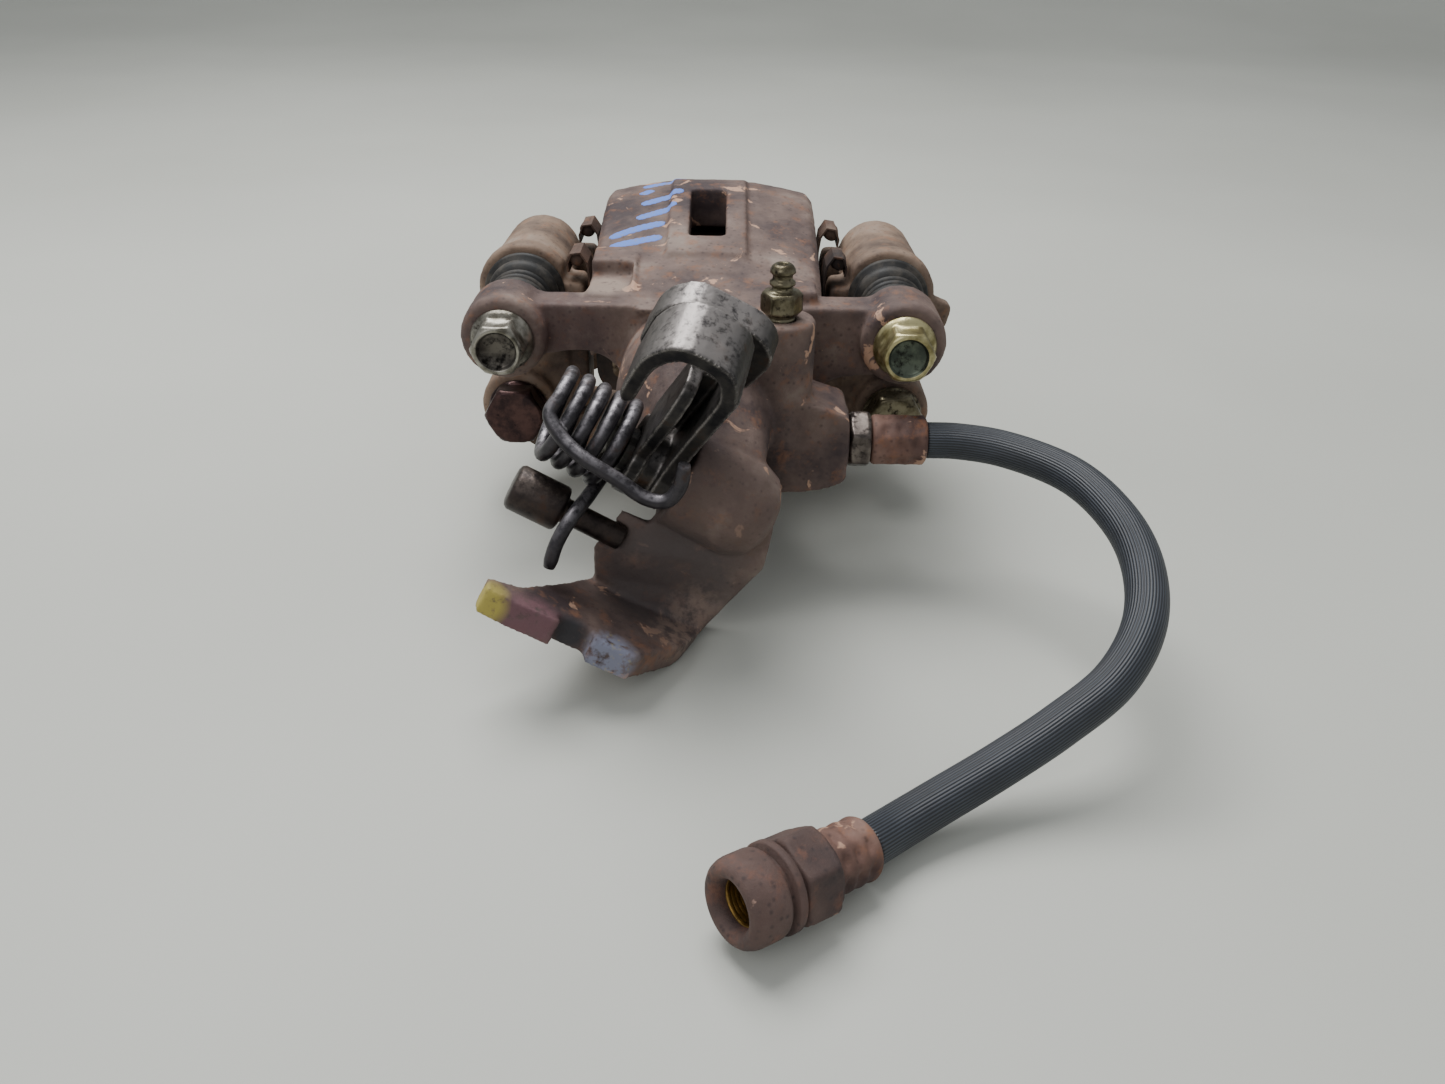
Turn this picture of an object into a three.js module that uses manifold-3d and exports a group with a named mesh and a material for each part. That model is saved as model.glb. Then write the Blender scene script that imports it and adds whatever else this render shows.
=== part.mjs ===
// Rear floating brake caliper with its carrier, pads, parking-brake lever and flexible hose.
// Millimetres, +Z up. It stands level on a table: guide pins along Y, the piston side towards -Y.
import * as THREE from "three";
import { ConvexGeometry } from "three/addons/geometries/ConvexGeometry.js";
import { mergeVertices } from "three/addons/utils/BufferGeometryUtils.js";
import Module from "manifold-3d";

const wasm = await Module();
wasm.setup();

// ------------------------------------------------------------------ driving dimensions
const GAP = 0.3; // air left between neighbouring pieces

const PIN_X = 58; // guide pins, half their spacing
const PIN_Z = 70;
const PIN_R = 5;
const EAR_R = 12.5; // caliper ears that hold the guide bolts
const EAR_LENGTH = 19;
const BOSS_R = 13; // carrier bosses that the pins slide in
const BOSS_COLLAR_R = 15.2;
const BOSS_START = 43.5;
const BOSS_END = 96;

const MOUNT_X = 62; // carrier mounting ears
const MOUNT_Z = 32;
const MOUNT_FACE = 38.5;
const MOUNT_BACK = 54;

const PISTON_Z = 56; // piston and cylinder axis, at x = 0
const PISTON_R = 19;
const CYLINDER_R = 25;
const CYLINDER_BACK = -16;
const CYLINDER_FRONT = 44;

const BRIDGE_HALF = 35.5;
const CROWN_R = 130; // radius of the bridge's top, seen from the front
const WINDOW_HALF = 5.8;
const WINDOW = [45, 78];

const DISC_R = 120; // the disc that would run in the slot
const DISC_TOP = 74.5;
const SLOT = [63.5, 73.5]; // the gap between the linings
const BACKING = 5.5;
const LINING = 11;

const BLEED_X = 21.4;
const BLEED_Y = -14;
const BLEED_TOP = 83;
const PORT_X = 42; // face that the hose screws into
const PORT_Y = -12;
const PORT_Z = 46;

const HOSE_R = 5.25;
const WIRE_R = 1.9; // return spring
const COIL_R = 11.1;
const COIL_TURNS = 4.61;
const COIL_HALF = 10.6;

// The parking-brake shaft: a point on its axis at the lever, and its direction.
const SHAFT = v(0.875, 0, -0.485).normalize();
const PIVOT = v(-14.3, -44, 54.4);
const COIL = PIVOT.clone().addScaledVector(SHAFT, -17.2);
const ARM = v(0.416, -0.515, 0.75).normalize(); // from the shaft towards the cable hook
const SWING = new THREE.Vector3().crossVectors(ARM, SHAFT).normalize();
const HOOK = 53.5; // shaft axis to the top of the hook
const STRAP = 15; // width of the lever's strap
const STOP = v(-41.6, -52, 46.4); // middle of the stop pin's head

// The cable fork: a corner of its lower face, and the directions along, across and out of it.
const FORK = v(-17.8, -70, 8);
const FORK_N = v(0.471, 0.13, 0.872).normalize();
const FORK_U = v(0.853, 0.183, -0.488).normalize();
const FORK_V = new THREE.Vector3().crossVectors(FORK_N, FORK_U).normalize();
const FORK_THICK = 7.5;

// ------------------------------------------------------------------ shape helpers
function v(x, y, z) {
  return new THREE.Vector3(x, y, z);
}

function along(origin, direction, distance) {
  return origin.clone().addScaledVector(direction, distance);
}

/** A matrix that takes x, y and z to the given directions and the origin to the given point. */
function frame(origin, x, y, z) {
  return new THREE.Matrix4().makeBasis(x, y, z).setPosition(origin);
}

/** A closed geometry as a solid, turned right side out. */
function solid(geometry, matrix) {
  const g = geometry.clone();
  for (const name of Object.keys(g.attributes)) if (name !== "position") g.deleteAttribute(name);
  if (matrix) g.applyMatrix4(matrix);
  const merged = mergeVertices(g, 1e-4);
  const index = merged.index.array;
  const faces = [];
  for (let i = 0; i < index.length; i += 3) {
    const [a, b, c] = index.slice(i, i + 3);
    if (a !== b && b !== c && a !== c) faces.push([a, b, c]);
  }
  const build = (list) =>
    new wasm.Manifold(
      new wasm.Mesh({
        numProp: 3,
        vertProperties: merged.attributes.position.array,
        triVerts: new Uint32Array(list.flat()),
      }),
    );
  const made = build(faces);
  return made.volume() > 0 ? made : build(faces.map(([a, b, c]) => [a, c, b]));
}

/** A solid of revolution about an axis; the profile lists [radius, distance along the axis]. */
function turned(profile, { at = v(0, 0, 0), axis = v(0, 1, 0), sides = 24, start = 0 } = {}) {
  const points = profile.map(([r, h]) => new THREE.Vector2(r, h));
  const geometry = new THREE.LatheGeometry(points, sides, start);
  const turn = new THREE.Quaternion().setFromUnitVectors(v(0, 1, 0), axis.clone().normalize());
  return solid(geometry, new THREE.Matrix4().compose(at, turn, v(1, 1, 1)));
}

/** A plain or chamfered cylinder. */
function rod(r, from, to, place = {}, chamfer = 0) {
  const c = chamfer;
  const profile = c
    ? [[0, from], [r - c, from], [r, from + c], [r, to - c], [r - c, to], [0, to]]
    : [[0, from], [r, from], [r, to], [0, to]];
  return turned(profile, place);
}

/** A ring: a tube of rectangular section. */
function ring(inner, outer, from, to, place = {}) {
  return turned([[inner, from], [outer, from], [outer, to], [inner, to], [inner, from]], place);
}

/** A hexagon with its corners turned off at the far end. */
function hexagon(acrossFlats, from, to, place = {}) {
  const corner = acrossFlats / Math.sqrt(3);
  const h = 0.18 * acrossFlats;
  const cone = turned(
    [[0, from], [corner, from], [corner, to - h * 0.5], [0.46 * acrossFlats, to], [0, to]],
    place,
  );
  return rod(corner, from, to, { ...place, sides: 6 }).intersect(cone);
}

/** An outline whose corners [x, y, r] are rounded where r is given. */
function outline(points) {
  const shape = new THREE.Shape();
  const at = points.map(([x, y]) => new THREE.Vector2(x, y));
  points.forEach(([, , r = 0], i) => {
    const here = at[i];
    const back = at[(i + at.length - 1) % at.length].clone().sub(here);
    const on = at[(i + 1) % at.length].clone().sub(here);
    const reach = Math.min(r, back.length() * 0.49, on.length() * 0.49);
    const enter = here.clone().addScaledVector(back.normalize(), reach);
    const leave = here.clone().addScaledVector(on.normalize(), reach);
    if (i === 0) shape.moveTo(enter.x, enter.y);
    else shape.lineTo(enter.x, enter.y);
    if (reach > 0) shape.quadraticCurveTo(here.x, here.y, leave.x, leave.y);
  });
  shape.closePath();
  return shape;
}

const SIDEWAYS = {
  x: frame(v(0, 0, 0), v(0, 1, 0), v(0, 0, 1), v(1, 0, 0)), // outline in (y, z)
  y: frame(v(0, 0, 0), v(1, 0, 0), v(0, 0, 1), v(0, 1, 0)), // outline in (x, z)
  z: new THREE.Matrix4(), // outline in (x, y)
};

/** A prism between two distances along an axis, or along the z of a given matrix. */
function prism(points, from, to, place) {
  const shape = Array.isArray(points) ? outline(points) : points;
  const geometry = new THREE.ExtrudeGeometry(shape, {
    depth: to - from,
    bevelEnabled: false,
    curveSegments: 4,
  }).translate(0, 0, from);
  return solid(geometry, typeof place === "string" ? SIDEWAYS[place] : place);
}

function box(x, y, z, place) {
  const points = [[x[0], y[0]], [x[1], y[0]], [x[1], y[1]], [x[0], y[1]]];
  return prism(points, z[0], z[1], place ?? "z");
}

/** The smallest convex solid round the points. */
function hull(points) {
  return solid(new ConvexGeometry(points));
}

/** A circle of points round an axis. */
function circle(centre, axis, r, count = 16) {
  const turn = new THREE.Quaternion().setFromUnitVectors(v(0, 1, 0), axis.clone().normalize());
  return Array.from({ length: count }, (_, i) => {
    const angle = (2 * Math.PI * i) / count;
    return v(r * Math.cos(angle), 0, r * Math.sin(angle)).applyQuaternion(turn).add(centre);
  });
}

/** A solid through matching closed rings of points. */
function loft(rings) {
  const n = rings[0].length;
  const positions = rings.flat().flatMap((p) => [p.x, p.y, p.z]);
  const index = [];
  for (let k = 0; k + 1 < rings.length; k++)
    for (let i = 0; i < n; i++) {
      const j = (i + 1) % n;
      const [a, b, c, d] = [k * n + i, k * n + j, (k + 1) * n + j, (k + 1) * n + i];
      index.push(a, b, c, a, c, d);
    }
  const flat = rings[0].map((p) => new THREE.Vector2(p.y, p.z));
  const last = (rings.length - 1) * n;
  const turnedBack = THREE.ShapeUtils.isClockWise(flat);
  for (const [a, b, c] of THREE.ShapeUtils.triangulateShape(flat, [])) {
    if (turnedBack) index.push(a, b, c, last + a, last + c, last + b);
    else index.push(a, c, b, last + a, last + b, last + c);
  }
  const geometry = new THREE.BufferGeometry();
  geometry.setAttribute("position", new THREE.Float32BufferAttribute(positions, 3));
  geometry.setIndex(index);
  const made = solid(geometry);
  return made;
}

/** A round wire or hose along a curve. */
function sweep(points, r, steps, sides = 8) {
  const section = new THREE.Shape();
  for (let i = 0; i < sides; i++) {
    const angle = (2 * Math.PI * i) / sides;
    const [x, y] = [r * Math.cos(angle), r * Math.sin(angle)];
    if (i === 0) section.moveTo(x, y);
    else section.lineTo(x, y);
  }
  section.closePath();
  const path = new THREE.CatmullRomCurve3(points, false, "centripetal");
  return solid(new THREE.ExtrudeGeometry(section, { steps, extrudePath: path, curveSegments: 1 }));
}

function union(list) {
  return list.reduce((sum, next) => sum.add(next));
}

// ------------------------------------------------------------------ materials and assembly
const material = (color, roughness, metalness) =>
  new THREE.MeshStandardMaterial({ color, roughness, metalness });

const FINISH = {
  rustIron: material(0x6b4a3c, 0.85, 0.35),
  tanIron: material(0x7d6350, 0.85, 0.35),
  oilySteel: material(0x33302d, 0.4, 0.8),
  zincDark: material(0x77746a, 0.45, 0.8),
  zincYellow: material(0x9a8a52, 0.45, 0.8),
  oliveSteel: material(0x5c5640, 0.55, 0.7),
  redBrown: material(0x4c2a20, 0.75, 0.5),
  rubber: material(0x1b1a19, 0.75, 0.0),
  hose: material(0x23272e, 0.6, 0.0),
  lining: material(0x3b3836, 0.95, 0.05),
  backing: material(0x4a3a30, 0.8, 0.4),
  stainless: material(0x83766a, 0.5, 0.7),
  chrome: material(0xb5b5b8, 0.2, 1.0),
  bright: material(0x8f8c88, 0.35, 0.9),
  brass: material(0x8a6f3c, 0.45, 0.85),
};

const assembly = new THREE.Group();
assembly.name = "rear_brake_caliper";

function add(name, shape, finish) {
  const mesh = shape.getMesh();
  const geometry = new THREE.BufferGeometry();
  const corners = new Float32Array(mesh.numVert * 3);
  for (let i = 0; i < mesh.numVert; i++)
    corners.set(mesh.vertProperties.subarray(i * mesh.numProp, i * mesh.numProp + 3), i * 3);
  geometry.setAttribute("position", new THREE.BufferAttribute(corners, 3));
  geometry.setIndex(new THREE.BufferAttribute(mesh.triVerts, 1));
  geometry.computeVertexNormals();
  const piece = new THREE.Mesh(geometry, finish);
  piece.name = name;
  assembly.add(piece);
  return piece;
}

const SIDES = { left: -1, right: 1 };
const mirrorX = (points, s) => points.map(([x, y, r]) => [s * x, y, r]);

// ------------------------------------------------------------------ carrier
function carrier() {
  const parts = [];
  for (const s of [-1, 1]) {
    const at = v(s * PIN_X, 0, PIN_Z);
    parts.push(
      turned(
        [
          [0, BOSS_START], [BOSS_COLLAR_R - 1, BOSS_START], [BOSS_COLLAR_R, BOSS_START + 1],
          [BOSS_COLLAR_R, BOSS_START + 5],
          [BOSS_R + 0.8, BOSS_START + 11], [BOSS_R, BOSS_END - 8], [BOSS_R - 1.6, BOSS_END - 3.5],
          [BOSS_R - 5, BOSS_END - 0.8], [BOSS_R - 8, BOSS_END], [0, BOSS_END],
        ],
        { at, sides: 24 },
      ),
    );
    if (s > 0)
      parts.push(prism([[62, 57, 2], [78, 59, 2], [79.5, 67, 2], [62, 74]], BOSS_START + 1.5, BOSS_START + 7, "y"));
    // Arch over the disc, from the inboard leg to the outboard leg.
    const arch = [
      [44, 16, 3], [60, 16, 3], [61.5, 54, 3], [66, 60, 3], [71, 60, 3], [75.5, 54, 3],
      [77, 3, 2], [93, 0.2, 3], [95, 62, 8], [90, 74, 6], [50, 74, 6], [44.5, 66, 4],
    ];
    parts.push(prism(arch, ...[s * 46.5, s * 59].sort((a, b) => a - b), "x"));
    // Abutments that carry the pads' ears, inboard and outboard.
    for (const [from, to] of [[44.6, 60], [78, 92.5]]) {
      const abutment = mirrorX([[39, 30, 2], [50, 26, 4], [52, 72, 2], [39.6, 72.5, 2.5], [39, 66, 1]], s);
      parts.push(prism(abutment, from, to, "y"));
    }
    // Mounting ear and the web that joins it to the arm.
    parts.push(rod(12.5, MOUNT_FACE, MOUNT_BACK, { at: v(s * MOUNT_X, 0, MOUNT_Z), sides: 24 }, 1));
    const web = mirrorX([[44, 15, 4], [56, 13, 5], [67, 21.5, 4], [72, 38, 4], [62, 52, 6], [46, 58, 3]], s);
    parts.push(prism(web, 43.5, 56.5, "y"));
  }
  const inner = [[-52, 14, 4], [-40, 9, 6], [40, 9, 6], [52, 14, 4], [50, 30, 3], [34, 23.6, 8], [-34, 23.6, 8], [-50, 30, 3]];
  parts.push(prism(inner, 45, 57, "y"));
  const outer = [[-56, 2, 2], [-50, 0, 2], [50, 0, 2], [56, 2, 2], [56, 20, 3], [40, 17, 8], [-40, 17, 8], [-56, 20, 3]];
  parts.push(prism(outer, 78, 93, "y"));
  let body = union(parts);

  for (const s of [-1, 1]) {
    body = body.subtract(rod(PIN_R + GAP, BOSS_START - 1, 88, { at: v(s * PIN_X, 0, PIN_Z), sides: 18 }));
    body = body.subtract(
      rod(6 + GAP, MOUNT_FACE - 1, MOUNT_BACK + 6, { at: v(s * MOUNT_X, 0, MOUNT_Z), sides: 18 }),
    );
    for (const [from, to] of [[44, 61], [77, 94]])
      body = body.subtract(prism(mirrorX([[36, 50.9], [45.3, 50.9], [45.3, 65.1], [36, 65.1]], s), from, to, "y"));
  }
  // Flats beside the pad clips.
  body = body.subtract(box([-46, 46], [BOSS_START - 1, 62], [72.8, 90]));
  // Room for the disc.
  body = body.subtract(
    rod(DISC_R + 2, SLOT[0] - 1, SLOT[1] + 1, { at: v(0, 0, DISC_TOP - DISC_R), sides: 72 }),
  );
  add("carrier_bracket", body, FINISH.tanIron);
}

function padClip(name, s, from, to) {
  // One folded strip: it lines the groove in the carrier and stands up beside the bridge.
  const t = 0.6;
  const line = [
    [38.6, 51.2], [44.9, 51.2], [44.9, 64.8], [38.3, 64.8], [38.1, 73.6], [38.7, 78.4], [40.6, 81.4], [43.2, 81], [44.4, 78], [44, 75.6],
  ];
  const inner = line.map(([x, z], i) => {
    if (i === 0) return [x, z + t];
    if (i === 1) return [x - t, z + t];
    if (i === 2) return [x - t, z - t];
    if (i === 3) return [x - t, z - t];
    if (i === 4) return [x - t, z];
    if (i === 5) return [x - t, z + 0.2];
    if (i === 6) return [x - 0.3, z + t];
    if (i === 7) return [x + 0.4, z + 0.5];
    return [x + t, z];
  });
  add(name, prism(mirrorX([...line, ...inner.reverse()], s), from, to, "y"), FINISH.stainless);
}

function mountingBolt(name, s, finish) {
  const at = v(s * MOUNT_X, 0, MOUNT_Z);
  const hex = hexagon(18, 0, 7, { at: v(s * MOUNT_X, MOUNT_FACE - 1.8, MOUNT_Z), axis: v(0, -1, 0) });
  const flange = rod(9.8, MOUNT_FACE - 2.3, MOUNT_FACE - GAP, { at, sides: 24 }, 0.5);
  const shank = rod(6, MOUNT_FACE - 2, MOUNT_BACK + 5, { at, sides: 18 }, 1);
  add(name, union([hex, flange, shank]), finish);
}

// ------------------------------------------------------------------ caliper housing
function bridge() {
  const top = [[20, 78], [26, 83], [40, 86.6], [60, 91], [78, 93.9], [91, 94.6], [100, 93.2], [105.5, 88]];
  const fingers = [[107.5, 76], [107.5, 46], [104, 42], [95, 42], [91.4, 46]];
  const under = [[91.4, 81.2], [88, 82.6], [56, 81.8], [45, 80.8], [44.6, 72], [20, 62]];
  const stations = [-BRIDGE_HALF, -33.5, -26, -16, -8, 0, 8, 16, 26, 33.5, BRIDGE_HALF];
  const rings = stations.map((x) => {
    const drop = (x * x) / (2 * CROWN_R);
    const edge = Math.abs(x) === BRIDGE_HALF ? 1.8 : 0;
    return [
      ...top.map(([y, z]) => v(x, y < 26 ? y + edge : y > 99 ? y - edge : y, z - drop - edge)),
      ...fingers.map(([y, z]) => v(x, y > 100 ? y - edge : y, z)),
      ...under.map(([y, z]) => v(x, y, z - drop)),
    ];
  });
  let body = loft(rings);
  const strip = [[31, 82], [35, 86.4], [44, 88.8], [60, 92.3], [78, 95.1], [88, 95.8], [96, 94], [96, 85], [60, 85]];
  body = body.add(prism(strip, -12.5, 12.5, "x"));
  body = body.subtract(prism([[-WINDOW_HALF, WINDOW[0]], [WINDOW_HALF, WINDOW[0]], [WINDOW_HALF, WINDOW[1]], [-WINDOW_HALF, WINDOW[1]]], 70, 105, "z"));
  // The gap between the two fingers.
  const gap = [[-9, 30], [9, 30], [9, 62, 2], [7, 70, 4], [-7, 70, 4], [-9, 62, 2]];
  return body.subtract(prism(gap, 89, 112, "y"));
}

function bar(left, right, thickness) {
  const half = thickness.clone().multiplyScalar(0.5);
  return [left, right].flatMap((p) => [p.clone().add(half), p.clone().sub(half)]);
}

function cableBracket() {
  const place = frame(FORK, FORK_U, FORK_V, FORK_N);
  const plate = prism(
    [
      [-43.5, -2.8, 1], [-24, -7, 1], [-15, -9, 1], [-3.5, -11.2, 1.5],
      [14, 4, 6], [22, 16, 4], [24, 30, 3], [-4, 33, 3], [-8, 27.5, 3], [-22, 14, 4], [-34, 4.5, 2], [-43, 3.5, 1],
    ],
    0,
    FORK_THICK,
    place,
  );
  const notch = prism([[-24, -14], [-14.5, -14], [-14.5, -4.6], [-24, -2.8]], -2, FORK_THICK + 2, place);
  const foot = bar(along(along(FORK, FORK_U, -5.5), FORK_V, 28), along(along(FORK, FORK_U, 22), FORK_V, 20), v(0, 8, -1));
  const low = bar(v(-28.5, -47.5, 20.5), v(8, -44, 9), v(0.8, -6.4, 5));
  const middle = bar(v(-28, -49.5, 30), v(17.5, -46, 22), v(0.8, -6.4, 5));
  const high = bar(v(-20, -47, 38.5), v(20, -44, 33), v(1, -6, 9));
  return union([
    plate.subtract(notch),
    hull([...foot.map((p) => p.clone().addScaledVector(FORK_N, 3.5)), ...low]),
    hull([...low, ...middle]),
    hull([...middle, ...high]),
  ]);
}

function shaftNose() {
  const from = along(PIVOT, SHAFT, 10);
  const to = along(PIVOT, SHAFT, 29);
  const corner = along(PIVOT, SHAFT, 35);
  const end = along(PIVOT, SHAFT, 38);
  const back = v(0, CYLINDER_BACK + 2, PISTON_Z);
  return union([
    hull([
      ...circle(from, SHAFT, 13.5, 18), ...circle(to, SHAFT, 14, 18), ...circle(corner, SHAFT, 11.5, 18), ...circle(end, SHAFT, 6.5, 12),
    ]),
    hull([...circle(back, v(0, 1, 0), 21, 20), ...circle(along(from, SHAFT, 3), SHAFT, 12, 16), ...circle(to, SHAFT, 12, 16)]),
  ]);
}

function housing() {
  const parts = [
    turned(
      [
        [0, CYLINDER_BACK], [20, CYLINDER_BACK], [CYLINDER_R - 1.5, CYLINDER_BACK + 3], [CYLINDER_R, CYLINDER_BACK + 7],
        [CYLINDER_R, CYLINDER_FRONT - 1], [CYLINDER_R - 1, CYLINDER_FRONT], [0, CYLINDER_FRONT],
      ],
      { at: v(0, 0, PISTON_Z), sides: 36 },
    ),
    bridge(),
    shaftNose(),
    cableBracket(),
  ];
  // Ears on their arms.
  for (const s of [-1, 1])
    parts.push(
      turned(
        [[0, 0], [EAR_R - 1.5, 0], [EAR_R, 1.5], [EAR_R, EAR_LENGTH - 1], [EAR_R - 1, EAR_LENGTH], [0, EAR_LENGTH]],
        { at: v(s * PIN_X, 0, PIN_Z), sides: 24 },
      ),
    );
  const leftArm = [[-58, 82, 3], [-50, 78.6, 5], [0, 78.6], [0, 44], [-22, 44, 4], [-25, 60, 6], [-34, 65, 8], [-48, 63, 5], [-55, 60, 3]];
  const rightArm = [[58, 82, 3], [50, 78.6, 5], [0, 78.6], [0, 36], [26, 36, 3], [31, 52, 6], [40, 57.5, 6], [55, 58.5, 3]];
  parts.push(prism(leftArm, 6.5, EAR_LENGTH - 0.5, "y"), prism(rightArm, 6.5, EAR_LENGTH - 0.5, "y"));
  // Shoulder between the arms and the bridge.
  parts.push(
    hull([
      ...[-31, 31].flatMap((x) => [v(x, 30, 80), v(x, 30, 66), v(x, 16, 66), v(x * 0.94, 16, 80)]),
      ...[-18, 18].flatMap((x) => [v(x, 4, 78), v(x, 30, 83)]),
    ]),
  );
  // Bleed-screw boss, port block and the wall that joins them to the cylinder.
  parts.push(rod(9.6, 40, BLEED_TOP, { at: v(BLEED_X, BLEED_Y, 0), axis: v(0, 0, 1), sides: 28 }, 0.8));
  parts.push(prism([[8, 32, 4], [34, 34, 3], [PORT_X - 0.6, 37, 2], [PORT_X - 0.6, 57, 2], [33, 60, 4], [8, 66]], -22.5, -1.5, "y"));
  parts.push(rod(9.5, PORT_X - 12, PORT_X, { at: v(0, PORT_Y, PORT_Z), axis: v(1, 0, 0), sides: 24 }, 0.6));
  parts.push(prism([[6, -21, 3], [29, -22, 4], [30, 6, 4], [6, 10]], 44, 76, "z"));
  // Raised corner of the bridge beside the left arm, and the rest machined into it.
  parts.push(hull([-35, -21].flatMap((x) => [v(x, 12, 72), v(x, 12, 80), v(x, 31, 84.6), v(x, 44, 85), v(x, 44, 75)])));
  parts.push(box([22, 33], [10, 22], [70, 82.4]));
  let body = union(parts);
  body = body.subtract(box([-36, -22], [8, 31], [80, 95]));

  // Cylinder bore with its seal and boot grooves.
  const bore = v(0, 0, PISTON_Z);
  body = body.subtract(rod(PISTON_R + 0.25, 0, 60, { at: bore, sides: 36 }));
  body = body.subtract(rod(PISTON_R + 2.6, 33.2, 37.3, { at: bore, sides: 36 }));
  body = body.subtract(rod(PISTON_R + 3.2, 39.2, 60, { at: bore, sides: 36 }));
  // The parking-brake shaft's bore, room for the lever to swing, and the strut's passage.
  body = body.subtract(rod(15, -16, 9.4, { at: PIVOT, axis: SHAFT, sides: 24 }));
  body = body.subtract(rod(6.5, 4, 32, { at: PIVOT, axis: SHAFT, sides: 18 }));
  body = body.subtract(rod(4, -6, 44, { at: v(0, -42, 48), axis: v(0, 1, 0.19), sides: 16 }));
  for (const s of [-1, 1])
    body = body.subtract(rod(4.3, -2, EAR_LENGTH + 2, { at: v(s * PIN_X, 0, PIN_Z), sides: 20 }));
  body = body.subtract(rod(4.1, 62, 90, { at: v(BLEED_X, BLEED_Y, 0), axis: v(0, 0, 1), sides: 20 }));
  body = body.subtract(rod(5.2, PORT_X - 16, PORT_X + 2, { at: v(0, PORT_Y, PORT_Z), axis: v(1, 0, 0), sides: 20 }));
  body = body.subtract(rod(3.6, 6, 25, { at: STOP, axis: SHAFT, sides: 16 }));
  body = body.subtract(box([-80, 80], [-120, 0], [-30, 0]));
  add("caliper_housing", body, FINISH.rustIron);
}

// ------------------------------------------------------------------ guides and small parts
function guide(side, s, finish) {
  const at = v(s * PIN_X, 0, PIN_Z);
  const place = { at, sides: 18 };
  const pin = union([
    rod(PIN_R, 20, 86, place, 0.6),
    hexagon(13, 0, 3.4, { at: v(s * PIN_X, EAR_LENGTH + GAP, PIN_Z), axis: v(0, 1, 0) }),
  ]).subtract(rod(4.1, 0, 36, { at, sides: 20 }));
  add(`guide_pin_${side}`, pin, FINISH.bright);

  const flange = turned([[0, -GAP], [9, -GAP], [9.2, -1.2], [7.4, -3.2], [0, -3.2]], place);
  const head = hexagon(14, 0, 7.4, { at: v(s * PIN_X, -2.8, PIN_Z), axis: v(0, -1, 0) });
  const dimple = rod(3.6, -12, -9.4, { at, sides: 16 });
  add(`guide_bolt_${side}`, union([flange, head.subtract(dimple), rod(3.8, -2, 34, { at, sides: 20 })]), finish);

  const profile = [[PIN_R + GAP, 23.2], [9, 23.2], [10.5, 24.2], [10.5, 26.6], [7.6, 28.2]];
  for (const y of [30.4, 34.4, 38.4]) profile.push([10.2, y], [7.4, y + 2]);
  profile.push([9.8, 42], [9.8, BOSS_START - GAP], [PIN_R + GAP, BOSS_START - GAP], [PIN_R + GAP, 23.2]);
  add(`guide_boot_${side}`, turned(profile, place), FINISH.rubber);
}

function bleedScrew() {
  const place = { at: v(BLEED_X, BLEED_Y, 0), axis: v(0, 0, 1), sides: 16 };
  const top = BLEED_TOP;
  const stem = turned(
    [
      [0, 66], [2, 66], [3.8, 69], [3.8, top + 0.6], [3.4, top + 1.6], [0, top + 1.6],
    ],
    place,
  );
  const neck = turned(
    [
      [0, top + 7], [3.2, top + 7], [2.7, top + 8.4], [3.5, top + 9.2], [3.5, top + 10.2], [2.7, top + 10.9],
      [2.7, top + 11.8], [3.5, top + 12.6], [3.3, top + 13.6], [2.4, top + 14.9], [0, top + 14.9],
    ],
    place,
  );
  const hex = hexagon(10, 0, 6, { at: v(BLEED_X, BLEED_Y, top + 1.4), axis: v(0, 0, 1) });
  const hole = rod(1.1, top + 4, top + 20, { ...place, sides: 12 });
  add("bleed_screw", union([stem, neck, hex]).subtract(hole), FINISH.oliveSteel);
}

// ------------------------------------------------------------------ piston, adjuster and pads
function pistonGroup() {
  const at = v(0, 0, PISTON_Z);
  const place = { at, sides: 30 };
  const front = SLOT[0] - LINING - GAP - BACKING - 2 * GAP - 0.7;
  let piston = turned(
    [
      [0, 36], [11.5, 36], [13, 34.5], [13, 7], [17.8, 7], [PISTON_R, 9], [PISTON_R, 39], [17.6, 39.5],
      [17.6, 42.6], [PISTON_R - 0.6, 43.5], [PISTON_R - 0.6, front - 0.8], [17.6, front], [0, front],
    ],
    place,
  );
  for (const angle of [0, Math.PI / 2]) {
    const across = box([-15, 15], [-2.2, 2.2], [front - 2.4, front + 2],
      frame(at, v(Math.cos(angle), 0, Math.sin(angle)), v(-Math.sin(angle), 0, Math.cos(angle)), v(0, 1, 0)));
    piston = piston.subtract(across);
  }
  add("piston", piston, FINISH.chrome);
  add("piston_seal", ring(PISTON_R + 0.05, PISTON_R + 2.3, 33.5, 37, place), FINISH.rubber);
  add(
    "piston_boot",
    turned(
      [[17.9, 39.9], [19.1, 39.9], [19.3, 42], [20.4, 40.4], [21.9, 39.6], [21.9, 43.4], [20.9, 43.2], [20.4, 42], [19.6, 43.4],
        [18.8, 43.2], [17.9, 42.2], [17.9, 39.9]],
      place,
    ),
    FINISH.rubber,
  );
  const nut = union([rod(10.5, 14, 34, place, 1), ring(4.5, 12.4, 26, 30, place)]).subtract(rod(4.2, 0, 60, place));
  add("adjuster_nut", nut, FINISH.oilySteel);
  const screw = union([rod(3.9, 2.3, 32, { at, sides: 20 }, 0.5), ring(2, 12, 2.3, 5.6, { at, sides: 32 })]);
  add("adjuster_screw", screw, FINISH.oilySteel);
  const strutAxis = v(0, 1, 0.19).normalize();
  add("push_strut", rod(3.4, 5.8, 43.2, { at: v(0, -42, 48), axis: strutAxis, sides: 16 }, 1), FINISH.oilySteel);
}

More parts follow.
